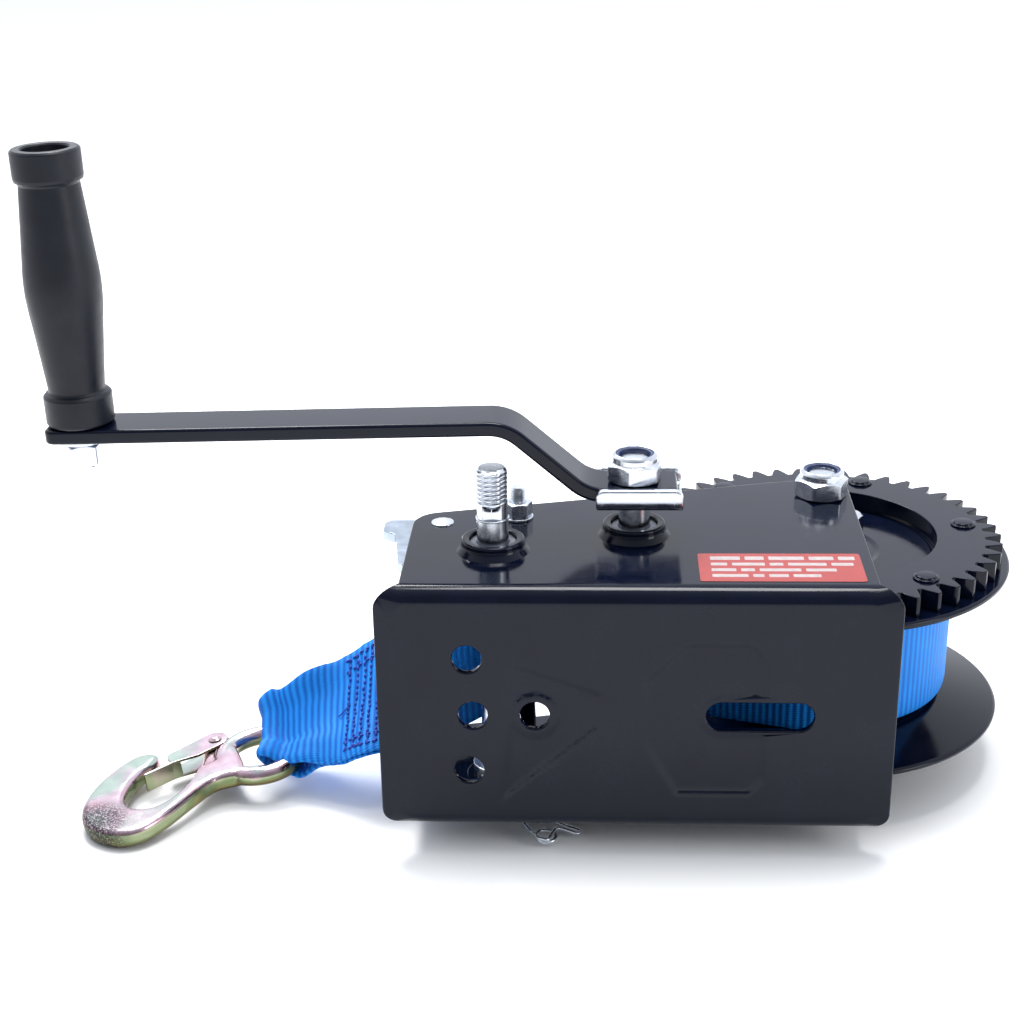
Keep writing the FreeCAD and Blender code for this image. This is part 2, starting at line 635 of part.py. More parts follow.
# ---------- pawl ----------
def pawl_solid():
    """Flat stamped pawl on the peened pin: tooth toward shaft B, finger lever outside the frame."""
    c = PAWL_PIVOT
    z0, z1 = PAWL_Z
    gap = math.radians(PAWL_GAP_ANGLE)
    tip = SHAFT_B + V(math.cos(gap), math.sin(gap), 0) * PAWL_TIP_R
    reach = (tip - c).Length
    rest = math.atan2(tip.y - c.y, tip.x - c.x) + math.radians(PAWL_SWING)
    into = FreeCAD.Rotation(Z_AXIS, PAWL_SWING).multVec(V(-math.cos(gap), -math.sin(gap), 0))
    side = Z_AXIS.cross(into)
    t = c + V(math.cos(rest), math.sin(rest), 0) * reach
    root = t - into * 3.7
    back = t - into * 6.1
    beam = [(24.8, 0.2), (14.3, 4.2), (2.3, 8.6), (-4.0, -7.0), (2.3, -8.4), (8.3, -6.1), (14.3, -3.9)]
    outline = [t + side * 0.6, root + side * 1.75, back + side * 2.3]
    outline += [c + V(x, y, 0) for x, y in beam]
    outline += [root - side * 1.75, t - side * 0.6]
    arm = prism([(p.x, p.y) for p in outline], z0, z1)
    lever = prism([(-80, 57), (-76, 71), (-82, 84.5), (-96.5, 84.5), (-99, 82), (-99, 73.5), (-97, 71.5),
                   (-94, 69.5), (-92.8, 64), (-90.0, 41.5), (-88.0, 39.0), (-85.0, 40.0), (-81, 50)], z0, z1)
    body = fuse([cyl(c, z0, z1, 9.0), arm, lever])
    return body.cut(cyl(c, z0 - 1, z1 + 1, 4.0))


# ---------- hook ----------
def hook_place(solid):
    return local_solid(solid, EYE_CENTRE, HOOK_U, HOOK_V, HOOK_W)


HOOK_OUTER = [(12, 9.5), (24, 8.0), (36, 12.0), (50, 18.0), (62, 20.6), (71, 17.0), (76.5, 8.0), (77.3, -1.0),
              (73.5, -11.0), (66, -19.5), (57, -25.5), (48, -29.3), (41, -30.6), (35.5, -28.0), (34.5, -23.8),
              (39, -19.8), (45, -17.5), (52, -12.5), (57.5, -5.5), (59, 1.0), (56, 6.5), (50, 9.0), (42, 7.2),
              (34, 2.5), (27, -3.5), (22, -9.5), (18.5, -16), (15.5, -21.5), (10.5, -23.5), (6.5, -20.0), (6, -12)]


def smooth_prism(points, z0, z1):
    """Prism over a closed smooth curve through the points."""
    curve = Part.BSplineCurve()
    curve.interpolate([V(x, y, z0) for x, y in points], PeriodicFlag=True)
    return Part.Face(Part.Wire(curve.toShape())).extrude(V(0, 0, z1 - z0))


def hook_solid():
    """Plate hook with a round-section eye; the neck is thinned on both faces where the latch sits."""
    h = HOOK_T / 2
    body = smooth_prism(HOOK_OUTER, -h, h)
    body = body.cut(Part.makeCylinder(11.5, HOOK_T + 2, V(0, 0, -h - 1)))
    body = body.fuse(Part.makeTorus(EYE_MEAN_R, h))
    sweep = [(9, -12.5), (14.5, -7), (19, -5), (26, -5), (26, -22), (12, -24.5)]
    for z0 in (LATCH_SEAT_Z, -LATCH_SEAT_Z - 10):
        seat = Part.makeCylinder(7.2, 10, V(11.5, -18.3, z0))
        body = body.cut(seat.fuse(prism(sweep, z0, z0 + 10)))
    body = body.cut(Part.makeCylinder(2.05, 30, V(11.5, -18.3, -15)))
    return hook_place(body.removeSplitter())


def latch_solid():
    """Folded sheet latch: two cheeks on the rivet, joined by a web on the inner side of the mouth."""
    t = 1.2
    gap = LATCH_SEAT_Z + 0.5
    solids = []
    for s in (1, -1):
        z0, z1 = sorted((s * gap, s * (gap + t)))
        cheek = prism([(8.6, -13.6), (5.9, -17), (6.4, -21.2), (9.8, -23.9), (14, -23.6), (33.0, -21.0),
                       (33.0, -14.4), (22, -12.2)], z0, z1)
        solids.append(cheek)
    web = prism([(29.2, -13.9), (29.2, -15.1), (33.0, -15.6), (45.5, -14.6), (45.5, -13.4), (33, -14.2)],
                -gap - t, gap + t)
    solids.append(web)
    out = fuse(solids)
    return hook_place(out.cut(Part.makeCylinder(1.6, 30, V(11.5, -18.3, -15))))


def latch_rivet():
    z = LATCH_SEAT_Z + 0.5 + 1.2
    body = Part.makeCylinder(1.55, 2 * z + 0.4, V(11.5, -18.3, -z - 0.2))
    for s in (1, -1):
        body = body.fuse(Part.makeCylinder(2.6, 0.9, V(11.5, -18.3, s * (z + 0.1)), V(0, 0, s)))
    return hook_place(body.removeSplitter())


# ---------- strap tail ----------
def ribbon(stations):
    """Loft of thin rectangles; each station is (centre, across direction, width, thickness)."""
    wires = []
    count = len(stations)
    for k, (c, w, width, thick) in enumerate(stations):
        a = stations[max(0, k - 1)][0]
        b = stations[min(count - 1, k + 1)][0]
        run = (b - a).normalize()
        across = (w - run * w.dot(run)).normalize()
        normal = run.cross(across).normalize()
        x = across * (width / 2)
        y = normal * (thick / 2)
        corners = [c + x + y, c - x + y, c - x - y, c + x - y]
        wires.append(Part.makePolygon(corners + corners[:1]))
    return Part.makeLoft(wires, True, False)


def tail_stations():
    r = COIL_R + 0.6 + STRAP_T / 2
    mid = (STRAP_Z[0] + STRAP_Z[1]) / 2
    up = V(0, 0, 1)
    out = []
    for deg in (284, 275, 266, 257, 248.4):
        a = math.radians(deg)
        out.append((at(DRUM + V(math.cos(a), math.sin(a), 0) * r, mid), up, STRAP_WIDTH, STRAP_T))
    out += [
        (V(36, 50.0, -3.4), up, STRAP_WIDTH, STRAP_T),
        (V(16, 58.6, -4.6), up, STRAP_WIDTH, STRAP_T),
        (V(-2, 65.0, -5.8), up, STRAP_WIDTH, STRAP_T),
        (V(-22, 71.6, -7.2), up, STRAP_WIDTH, STRAP_T),
        (V(-38, 76.6, -8.8), up, STRAP_WIDTH, STRAP_T),
        (V(-45.5, 78.0, -10.0), up, STRAP_WIDTH, STRAP_T),
        (V(-53, 76.3, -11.4), V(0, 0.05, 1), STRAP_WIDTH, STRAP_T),
        (V(-66, 70.4, -14.2), V(0, 0.25, 0.97), STRAP_WIDTH, STRAP_T),
        (V(-80, 64.8, -17.6), V(0, 0.55, 0.84), STRAP_WIDTH, 2 * STRAP_T),
        (V(-91, 60.2, -20.4), V(0, 0.76, 0.65), STRAP_WIDTH, 2 * STRAP_T),
        (TAIL_FLAT_START, V(0, 0.9, 0.44), STRAP_WIDTH, 2 * STRAP_T),
        (LOOP_CENTRE + LOOP_A * 30, V(0, 0.985, 0.17), STRAP_WIDTH, 2 * STRAP_T),
    ]
    return out


def strap_loop():
    """Folded end of the strap round the hook's eye, drawn about the loop centre then carried into place."""
    width = STRAP_WIDTH
    outer_r, inner_r, far = 8.6, 6.6, 31.0
    outer = Part.makeCylinder(outer_r, width, V(0, -width / 2, 0), V(0, 1, 0))
    outer = outer.fuse(taper(outer_r, 2.0, far, width))
    inner = Part.makeCylinder(inner_r, width + 2, V(0, -width / 2 - 1, 0), V(0, 1, 0))
    inner = inner.fuse(taper(inner_r, 0.2, far - 3, width + 2))
    loop = outer.cut(inner)
    neck = prism([(-12, -6.5), (7, -6.5), (24, -25), (far + 1, -25), (far + 1, 25), (24, 25), (7, 6.5), (-12, 6.5)], -20, 20)
    loop = loop.common(neck)
    return local_solid(loop, LOOP_CENTRE, LOOP_A, LOOP_B, LOOP_C)


def taper(r, end_half, far, width):
    pts = [(0, r), (far, end_half), (far, -end_half), (0, -r)]
    wire = Part.makePolygon([V(x, -width / 2, z) for x, z in pts + pts[:1]])
    return Part.Face(wire).extrude(V(0, width, 0))


def main():
    os.makedirs("parts", exist_ok=True)
    save("frame", frame_solid())
    save("rating_label", Part.makeBox(59.5, 25.5, 0.2, V(23, 8.2, TOP)))
    save("shaft_bushes", shaft_bushes())
    save("pawl_pin", pawl_pin())
    save("pawl_spring", pawl_spring())
    save("guide_bolt", guide_bolt())
    save("guide_nut", plain_nut(GUIDE_BOLT, TOP + 1.2, 10.0, 6.0, 3.0, 10))
    save("guide_washer", tube(GUIDE_BOLT, TOP, TOP + 1.2, 6.0, 3.1))
    save("guide_sleeve", tube(GUIDE_BOLT, -INNER, 33.5, 6.0, 3.2))
    save("guide_spacer", tube(GUIDE_BOLT, 33.5, INNER, 4.2, 3.1))
    save("axle_bolt", axle_bolt())
    save("axle_washer", tube(DRUM, FLOOR + 8.0, -TOP, 12.0, AXLE_R + 0.15))
    save("axle_nut", lock_nut(DRUM, TOP, 19.0, 11.2, AXLE_R, 8))
    save("axle_nut_insert", lock_insert(DRUM, TOP, 19.0, 11.2, AXLE_R))
    save("axle_sleeve", tube(DRUM, -INNER, INNER, SLEEVE_R, AXLE_R + 0.05))
    save("strap_tail", fuse([ribbon(tail_stations()), strap_loop()]))

    save("drum_gear", drum_ring_gear())
    save("upper_flange", upper_flange())
    save("lower_flange", lower_flange())
    core_z = (STRAP_Z[0] - 0.8, DRUM_GEAR_Z[0] - FLANGE_T)
    save("drum_core", tube(DRUM, core_z[0], core_z[1], CORE_R, CORE_R - 2.5))
    hubs = []
    for z0, z1 in ((core_z[0] - 17.0, core_z[0] + 10), (core_z[1] - 10, INNER - 1.0)):
        hubs.append(tube(DRUM, z0, z1, HUB_R, SLEEVE_R + 0.05))
    webs = [tube(DRUM, core_z[0], core_z[0] + 3, CORE_R - 2.5, HUB_R),
            tube(DRUM, core_z[1] - 3, core_z[1], CORE_R - 2.5, HUB_R)]
    save("drum_hubs", Part.makeCompound([fuse([h, w]) for h, w in zip(hubs, webs)]))
    save("gear_rivets", drum_rivets())
    save("strap_coil", strap_coil())
    save("strap_anchor", anchor_bolt())

    save("shaft_a", shaft(SHAFT_A, SHAFT_A_TOP, FLOOR + 0.8))
    b_line = math.degrees(A_TO_B) - 180
    idler_angle = meshing_tooth_angle(PAWL_GAP_ANGLE, b_line, PINION_TEETH, IDLER_TEETH)
    a_gap = math.degrees(A_TO_DRUM)
    half_tooth = 180.0 / PINION_TEETH
    save("pinion_a", gear(SHAFT_A, PINION_A_Z[0], PINION_A_Z[1], PINION_TEETH, a_gap + half_tooth, SHAFT_R))
    save("idler_gear", gear(SHAFT_A, IDLER_Z[0], IDLER_Z[1], IDLER_TEETH, idler_angle, SHAFT_R))
    save("spacer_a", Part.makeCompound([crank_spacer(SHAFT_A, -INNER + 0.4, PINION_A_Z[0]),
                                        crank_spacer(SHAFT_A, PINION_A_Z[1], IDLER_Z[0]),
                                        crank_spacer(SHAFT_A, IDLER_Z[1], INNER - 0.4)]))
    save("crank_arm", crank_arm())
    save("crank_saddle", crank_saddle())
    nut_z = ARM_LOW_Z + ARM_T
    save("crank_nut", lock_nut(SHAFT_A, nut_z, 19.0, 10.8, SHAFT_R - 0.1, 20))
    save("crank_nut_insert", lock_insert(SHAFT_A, nut_z, 19.0, 10.8, SHAFT_R - 0.1))
    save("grip_bolt", grip_bolt())
    z = grip_base_z() - ARM_T
    save("grip_washer", tilt(tube(GRIP_AT, z - 1.6, z, 9.0, 5.0)))
    save("grip_nut", tilt(plain_nut(GRIP_AT, z - 10.1, 16.0, 8.5, 5.0, 12)))
    save("grip", grip_solid())

    save("shaft_b", shaft(SHAFT_B, SHAFT_B_TOP, FLOOR + 0.8).cut(clip_hole()))
    save("pinion_b", gear(SHAFT_B, PINION_B_Z[0], PINION_B_Z[1], PINION_TEETH,
                          PAWL_GAP_ANGLE + half_tooth, SHAFT_R))
    save("spacer_b", Part.makeCompound([tube(SHAFT_B, -INNER + 0.4, -INNER + 5.5, 9.6, SHAFT_R),
                                        tube(SHAFT_B, PINION_B_Z[1], INNER - 0.4, 8.4, SHAFT_R)]))
    save("spring_clip", spring_clip())

    save("pawl", pawl_solid())
    save("hook", hook_solid())
    save("latch", latch_solid())
    save("latch_rivet", latch_rivet())


def clip_hole():
    along, _ = clip_frame()
    return Part.makeCylinder(0.75, 20, at(SHAFT_B, CLIP_Z) - along * 10, along)


main()
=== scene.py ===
import json
from math import acos, asin, atan2, ceil, cos, hypot, pi, radians, sin, sqrt, tan

import bpy
import numpy as np
from mathutils import Matrix, Vector
from mathutils.geometry import delaunay_2d_cdt


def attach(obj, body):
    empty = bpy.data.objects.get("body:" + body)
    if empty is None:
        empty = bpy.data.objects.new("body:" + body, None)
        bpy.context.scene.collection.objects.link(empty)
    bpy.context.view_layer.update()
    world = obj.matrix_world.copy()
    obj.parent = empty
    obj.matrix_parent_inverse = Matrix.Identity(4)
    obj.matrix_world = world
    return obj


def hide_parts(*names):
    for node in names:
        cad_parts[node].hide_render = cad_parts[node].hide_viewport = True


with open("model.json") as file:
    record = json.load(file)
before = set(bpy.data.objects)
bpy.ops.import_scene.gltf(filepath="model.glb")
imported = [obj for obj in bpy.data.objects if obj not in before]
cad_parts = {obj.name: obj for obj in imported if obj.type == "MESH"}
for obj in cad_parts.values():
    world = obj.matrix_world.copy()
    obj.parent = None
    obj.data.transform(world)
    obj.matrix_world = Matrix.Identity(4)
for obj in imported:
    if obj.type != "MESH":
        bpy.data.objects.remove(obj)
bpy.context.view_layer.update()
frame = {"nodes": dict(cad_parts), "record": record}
MM = 0.001
SCENE = bpy.context.scene
PIXELS = 1024
FOCAL_PIXELS = 1816.17
FLOOR = -60.5
FLOOR_HALF = 16.0


# ---------------------------------------------------------------- camera, light and floor
def camera():
    """Camera solved from the photo's outlines, with its principal point off the picture's centre."""
    elevation = radians(23.56)
    yaw = radians(3.88)
    roll = radians(-1.41)
    right = Vector((cos(yaw), sin(yaw), 0))
    level = cos(elevation)
    forward = Vector((-sin(yaw) * level, cos(yaw) * level, -sin(elevation)))
    up = right.cross(forward)
    turned_right = right * cos(roll) + up * sin(roll)
    turned_up = up * cos(roll) - right * sin(roll)
    rows = Matrix((turned_right, turned_up, -forward)).transposed()
    data = bpy.data.cameras.new("camera")
    data.sensor_width = 36.0
    data.lens = data.sensor_width * FOCAL_PIXELS / PIXELS
    data.shift_x = 27.88 / PIXELS
    data.shift_y = 60.0 / PIXELS
    data.clip_start = 0.01
    cam = bpy.data.objects.new("camera", data)
    cam.matrix_world = Matrix.Translation((-0.014099, -0.590998, 0.314961)) @ rows.to_4x4()
    SCENE.collection.objects.link(cam)
    SCENE.camera = cam


def area_light(name, place, aim, size, power, colour=(1, 1, 1)):
    data = bpy.data.lights.new(name, "AREA")
    data.shape = "RECTANGLE"
    data.size, data.size_y = size
    data.energy = power
    data.color = colour
    light = bpy.data.objects.new(name, data)
    direction = (Vector(aim) - Vector(place)).normalized()
    light.rotation_euler = direction.to_track_quat("-Z", "Y").to_euler()
    light.location = place
    SCENE.collection.objects.link(light)


def studio():
    """Pale floor under three softboxes, with a world that is brighter behind the winch than in front."""
    world = bpy.data.worlds.new("studio")
    SCENE.world = world
    world.use_nodes = True
    nodes, links = world.node_tree.nodes, world.node_tree.links
    nodes.clear()
    coords = nodes.new("ShaderNodeTexCoord")
    split = nodes.new("ShaderNodeSeparateXYZ")
    ramp = nodes.new("ShaderNodeValToRGB")
    scale = nodes.new("ShaderNodeMath")
    scale.operation = "MULTIPLY_ADD"
    scale.inputs[1].default_value = 0.5
    scale.inputs[2].default_value = 0.5
    back = nodes.new("ShaderNodeBackground")
    out = nodes.new("ShaderNodeOutputWorld")
    links.new(coords.outputs["Generated"], split.inputs[0])
    links.new(split.outputs["Y"], scale.inputs[0])
    links.new(scale.outputs[0], ramp.inputs[0])
    ramp.color_ramp.elements[0].color = (0.24, 0.26, 0.29, 1)
    ramp.color_ramp.elements[0].position = 0.1
    ramp.color_ramp.elements[1].color = (0.93, 0.97, 1.05, 1)
    ramp.color_ramp.elements[1].position = 0.6
    links.new(ramp.outputs[0], back.inputs[0])
    back.inputs[1].default_value = 1.3
    links.new(back.outputs[0], out.inputs[0])
    area_light("softbox_key", (-0.38, 0.62, 0.95), (0, 0.05, 0), (0.4, 0.4), 10.0)
    area_light("softbox_above", (0.1, 0.3, 2.0), (0, 0.0, 0), (0.7, 0.7), 28.0)
    area_light("softbox_right", (1.0, -0.45, 0.45), (0.1, 0.05, 0), (0.4, 0.6), 3.5)
    mesh = bpy.data.meshes.new("floor")
    s, z = FLOOR_HALF, FLOOR * MM
    mesh.from_pydata([(-s, -s, z), (s, -s, z), (s, s, z), (-s, s, z)], [], [(0, 1, 2, 3)])
    floor = bpy.data.objects.new("floor", mesh)
    SCENE.collection.objects.link(floor)
    mat, nt, bsdf = shader("floor_paper")
    bsdf.inputs["Base Color"].default_value = (0.985, 0.98, 0.965, 1)
    bsdf.inputs["Roughness"].default_value = 0.8
    bsdf.inputs["Specular IOR Level"].default_value = 0.2
    mesh.materials.append(mat)
    SCENE.view_settings.view_transform = "Standard"


# ---------------------------------------------------------------- materials
def shader(name):
    mat = bpy.data.materials.new(name)
    mat.use_nodes = True
    nt = mat.node_tree
    return mat, nt, nt.nodes["Principled BSDF"]


RIB = 2.7


class Nodes:
    """Small helper for building a procedural material."""

    def __init__(self, name):
        self.mat, self.tree, self.bsdf = shader(name)
        self.coords = self.tree.nodes.new("ShaderNodeTexCoord").outputs["Object"]

    def noise(self, scale, detail=3.0, rough=0.5, vector=None, distortion=0.0):
        n = self.tree.nodes.new("ShaderNodeTexNoise")
        n.inputs["Scale"].default_value = scale
        n.inputs["Detail"].default_value = detail
        n.inputs["Roughness"].default_value = rough
        n.inputs["Distortion"].default_value = distortion
        self.tree.links.new(vector or self.coords, n.inputs["Vector"])
        return n.outputs["Fac"]

    def stretch(self, factors, vector=None):
        n = self.tree.nodes.new("ShaderNodeMapping")
        n.inputs["Scale"].default_value = factors
        self.tree.links.new(vector or self.coords, n.inputs["Vector"])
        return n.outputs["Vector"]

    def ramp(self, fac, stops):
        n = self.tree.nodes.new("ShaderNodeValToRGB")
        e = n.color_ramp.elements
        while len(e) < len(stops):
            e.new(0.5)
        for item, (pos, col) in zip(e, stops):
            item.position = pos
            item.color = (*col, 1) if hasattr(col, "__len__") else (col, col, col, 1)
        self.tree.links.new(fac, n.inputs[0])
        return n.outputs["Color"]

    def math(self, op, a, b=None, c=None, clamp=False):
        n = self.tree.nodes.new("ShaderNodeMath")
        n.operation = op
        n.use_clamp = clamp
        for k, x in enumerate((a, b, c)):
            if x is None:
                continue
            if isinstance(x, (int, float)):
                n.inputs[k].default_value = x
            else:
                self.tree.links.new(x, n.inputs[k])
        return n.outputs[0]

    def mix(self, fac, a, b, blend="MIX"):
        n = self.tree.nodes.new("ShaderNodeMix")
        n.data_type = "RGBA"
        n.blend_type = blend
        for sock, x in ((n.inputs[0], fac), (n.inputs[6], a), (n.inputs[7], b)):
            if isinstance(x, (int, float)):
                sock.default_value = x
            elif isinstance(x, tuple):
                sock.default_value = (*x, 1)
            else:
                self.tree.links.new(x, sock)
        return n.outputs[2]

    def vary(self, name, fac, low, high, start=0.3, end=0.7):
        """Lets an input of the shader drift between two values with fac."""
        self.set(name, self.ramp(fac, [(start, low), (end, high)]))

    def bump(self, height, strength, distance):
        n = self.tree.nodes.new("ShaderNodeBump")
        n.inputs["Strength"].default_value = strength
        n.inputs["Distance"].default_value = distance
        self.tree.links.new(height, n.inputs["Height"])
        return n.outputs["Normal"]

    def set(self, name, value):
        sock = self.bsdf.inputs[name]
        if isinstance(value, (int, float)):
            sock.default_value = value
        elif isinstance(value, tuple):
            sock.default_value = (*value, 1) if sock.type == "RGBA" else value
        else:
            self.tree.links.new(value, sock)


def black_paint():
    m = Nodes("black_paint")
    m.vary("Base Color", m.noise(60), (0.0012, 0.0028, 0.010), (0.0022, 0.004, 0.014), 0.35, 0.65)
    m.vary("Roughness", m.noise(140, 4, 0.6), 0.08, 0.17)
    m.set("Normal", m.bump(m.noise(900, 2), 0.05, 0.0001))
    m.set("Specular IOR Level", 0.23)
    return m.mat


def bright_zinc(name="bright_zinc", low=(0.54, 0.57, 0.62), high=(0.72, 0.75, 0.80)):
    m = Nodes(name)
    cloud = m.noise(180, 4, 0.6)
    m.vary("Base Color", cloud, low, high)
    m.set("Metallic", 1.0)
    m.vary("Roughness", cloud, 0.15, 0.29)
    m.set("Normal", m.bump(m.noise(1800, 2), 0.08, 0.00006))
    return m.mat


def bush_steel():
    m = Nodes("bush_steel")
    cloud = m.noise(260, 4, 0.6)
    m.vary("Base Color", cloud, (0.10, 0.11, 0.13), (0.22, 0.23, 0.26))
    m.set("Metallic", 1.0)
    m.vary("Roughness", cloud, 0.28, 0.45)
    return m.mat


def yellow_zinc():
    """Iridescent passivated zinc: its colour drifts in soft clouds, and faces turned up are painted lighter and
    pinker, faces turned down darker, as painted light from above.
    """
    m = Nodes("yellow_zinc")
    coords = m.coords.node
    painted_light_facing = m.tree.nodes.new("ShaderNodeSeparateXYZ")
    m.tree.links.new(coords.outputs["Normal"], painted_light_facing.inputs[0])
    cloud = m.noise(38, 3, 0.55, distortion=0.5)
    drift = m.math("MULTIPLY_ADD", cloud, 0.75, 0.08)
    # Painted light from above: faces turned up are pushed to the lighter pink colours of the ramp, faces turned
    # down to the dark ones.
    drift = m.math("MULTIPLY_ADD", painted_light_facing.outputs["Z"], 0.42, drift, clamp=True)
    tint_with_painted_light = m.ramp(drift, [(0.12, (0.15, 0.12, 0.055)), (0.30, (0.27, 0.22, 0.09)), (0.44, (0.15, 0.19, 0.09)),
                          (0.56, (0.30, 0.33, 0.21)), (0.68, (0.56, 0.35, 0.40)), (0.80, (0.60, 0.46, 0.53)),
                          (0.93, (0.42, 0.50, 0.45))])
    # A darker, rougher grainy patch round one point at the lowest end of the bowl, near the floor.
    spot = m.tree.nodes.new("ShaderNodeVectorMath")
    spot.operation = "DISTANCE"
    m.tree.links.new(m.coords, spot.inputs[0])
    spot.inputs[1].default_value = (-0.2079, 0.0055, -0.0540)
    patch = m.ramp(m.math("MULTIPLY_ADD", cloud, 0.010, spot.outputs["Value"]), [(0.014, 1.0), (0.024, 0.0)])
    grains = m.ramp(m.noise(1300, 3, 0.75), [(0.52, 1.0), (0.62, 0.0)])
    dark_grain_patch = m.math("MULTIPLY", patch, grains)
    specks = m.ramp(m.noise(900, 3, 0.7), [(0.22, 0.4), (0.30, 1.0)])
    colour = m.mix(1.0, tint_with_painted_light, specks, "MULTIPLY")
    m.set("Base Color", m.mix(m.math("MULTIPLY", dark_grain_patch, 0.95), colour, (0.035, 0.035, 0.04)))
    m.set("Metallic", 1.0)
    rough = m.ramp(m.noise(170, 3, 0.6), [(0.3, 0.16), (0.7, 0.27)])
    m.set("Roughness", m.math("MULTIPLY_ADD", dark_grain_patch, 0.3, rough))
    m.set("Normal", m.bump(m.noise(420, 3, 0.6), 0.10, 0.0002))
    return m.mat


def black_plastic():
    m = Nodes("black_plastic")
    m.vary("Base Color", m.noise(90), (0.003, 0.004, 0.009), (0.006, 0.008, 0.015))
    m.vary("Roughness", m.noise(220), 0.34, 0.44)
    m.set("Normal", m.bump(m.noise(2200, 2), 0.12, 0.0001))
    m.set("Specular IOR Level", 0.3)
    return m.mat


def nylon():
    m = Nodes("nylon")
    m.vary("Base Color", m.noise(400), (0.012, 0.022, 0.075), (0.03, 0.05, 0.13))
    m.vary("Roughness", m.noise(700), 0.35, 0.5)
    m.set("Subsurface Weight", 0.1)
    m.set("Subsurface Radius", (0.001, 0.001, 0.002))
    return m.mat


def webbing():
    """Ribbed polyester webbing: UV holds millimetres along and across the strap."""
    m = Nodes("blue_webbing")
    uv = m.tree.nodes.new("ShaderNodeUVMap")
    uv.uv_map = "along_across"
    split = m.tree.nodes.new("ShaderNodeSeparateXYZ")
    m.tree.links.new(uv.outputs[0], split.inputs[0])
    along, across = split.outputs[0], split.outputs[1]
    rib = m.math("SINE", m.math("MULTIPLY", along, 2 * pi / RIB))
    rib01 = m.math("MULTIPLY_ADD", rib, 0.5, 0.5)
    row = m.math("MULTIPLY", along, pi / RIB)
    yarn = m.math("SINE", m.math("MULTIPLY_ADD", across, 2 * pi / 1.05, row))
    yarn01 = m.math("MULTIPLY_ADD", yarn, 0.5, 0.5)
    fibre = m.noise(1.0, 3, 0.6, vector=m.stretch((0.6, 5.0, 1.0), uv.outputs[0]))
    cloud = m.noise(0.05, 3, 0.5, vector=uv.outputs[0])
    # The rib and yarn relief is also painted into the colour: painted shade in the valleys and painted highlight
    # on the crests, with random fibre tone on top.
    shade = m.math("MULTIPLY_ADD", rib01, 0.55, m.math("MULTIPLY", yarn01, 0.25))
    shade = m.math("MULTIPLY_ADD", fibre, 0.35, shade, clamp=True)
    base = m.ramp(shade, [(0.15, (0.002, 0.085, 0.44)), (0.55, (0.006, 0.20, 0.76)),
                          (0.95, (0.016, 0.34, 0.93))])
    tone = m.ramp(cloud, [(0.3, 0.86), (0.7, 1.0)])
    m.set("Base Color", m.mix(1.0, base, tone, "MULTIPLY"))
    m.vary("Roughness", fibre, 0.42, 0.6)
    m.set("Sheen Weight", 0.04)
    m.set("Specular IOR Level", 0.22)
    m.set("Sheen Roughness", 0.4)
    m.set("Sheen Tint", (0.35, 0.65, 1.0))
    height = m.math("MULTIPLY_ADD", yarn01, 0.35, m.math("MULTIPLY", fibre, 0.25))
    height = m.math("MULTIPLY_ADD", rib01, 0.55, height)
    m.set("Normal", m.bump(height, 0.7, 0.00025))
    return m.mat


def stitch_thread():
    m = Nodes("stitch_thread")
    twist = m.noise(2400)
    m.vary("Base Color", twist, (0.004, 0.03, 0.30), (0.008, 0.06, 0.46))
    m.set("Roughness", 0.5)
    m.set("Normal", m.bump(twist, 0.4, 0.0001))
    return m.mat


def label_ink(name, scale, low, high, roughness):
    m = Nodes(name)
    m.vary("Base Color", m.noise(scale), low, high)
    m.vary("Roughness", m.noise(300), roughness, roughness + 0.12)
    return m.mat


def piece(name, node, shells, material="bright_zinc", body="winch_frame", sharp=45, uv=None):
    """Mesh made of closed shells in mm; it rides a body and stands for a node of the assembly."""
    verts, faces = [], []
    for shell_verts, shell_faces in shells:
        base = len(verts)
        verts.extend([tuple(v) for v in shell_verts])
        faces.extend([[base + k for k in f] for f in shell_faces])
    mesh = bpy.data.meshes.new(name)
    mesh.from_pydata((np.asarray(verts, dtype=float) * MM).tolist(), [], faces)
    mesh.update()
    mesh.shade_smooth()
    if sharp:
        mesh.set_sharp_from_angle(angle=radians(sharp))
    if uv is not None:
        layer = mesh.uv_layers.new(name="along_across")
        index = np.empty(len(mesh.loops), dtype=np.int32)
        mesh.loops.foreach_get("vertex_index", index)
        layer.data.foreach_set("uv", np.asarray(uv, dtype=np.float32)[index].ravel())
    mesh.materials.append(MATERIALS[material])
    obj = bpy.data.objects.new(name, mesh)
    SCENE.collection.objects.link(obj)
    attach(obj, body)
    if node:
        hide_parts(node)
    if sharp:
        flat = obj.modifiers.new("flat_faces", "WEIGHTED_NORMAL")
        flat.weight = 80
        flat.keep_sharp = True
    return obj


def tube_faces(rings, sides, loop=False, flip=False):
    """Quads between rings of vertices; loop joins the last ring to the first."""
    faces = []
    for i in range(rings if loop else rings - 1):
        a, b = i * sides, (i + 1) % rings * sides
        for k in range(sides):
            m = (k + 1) % sides
            faces.append([a + k, b + k, b + m, a + m] if flip else [a + k, a + m, b + m, b + k])
    return faces


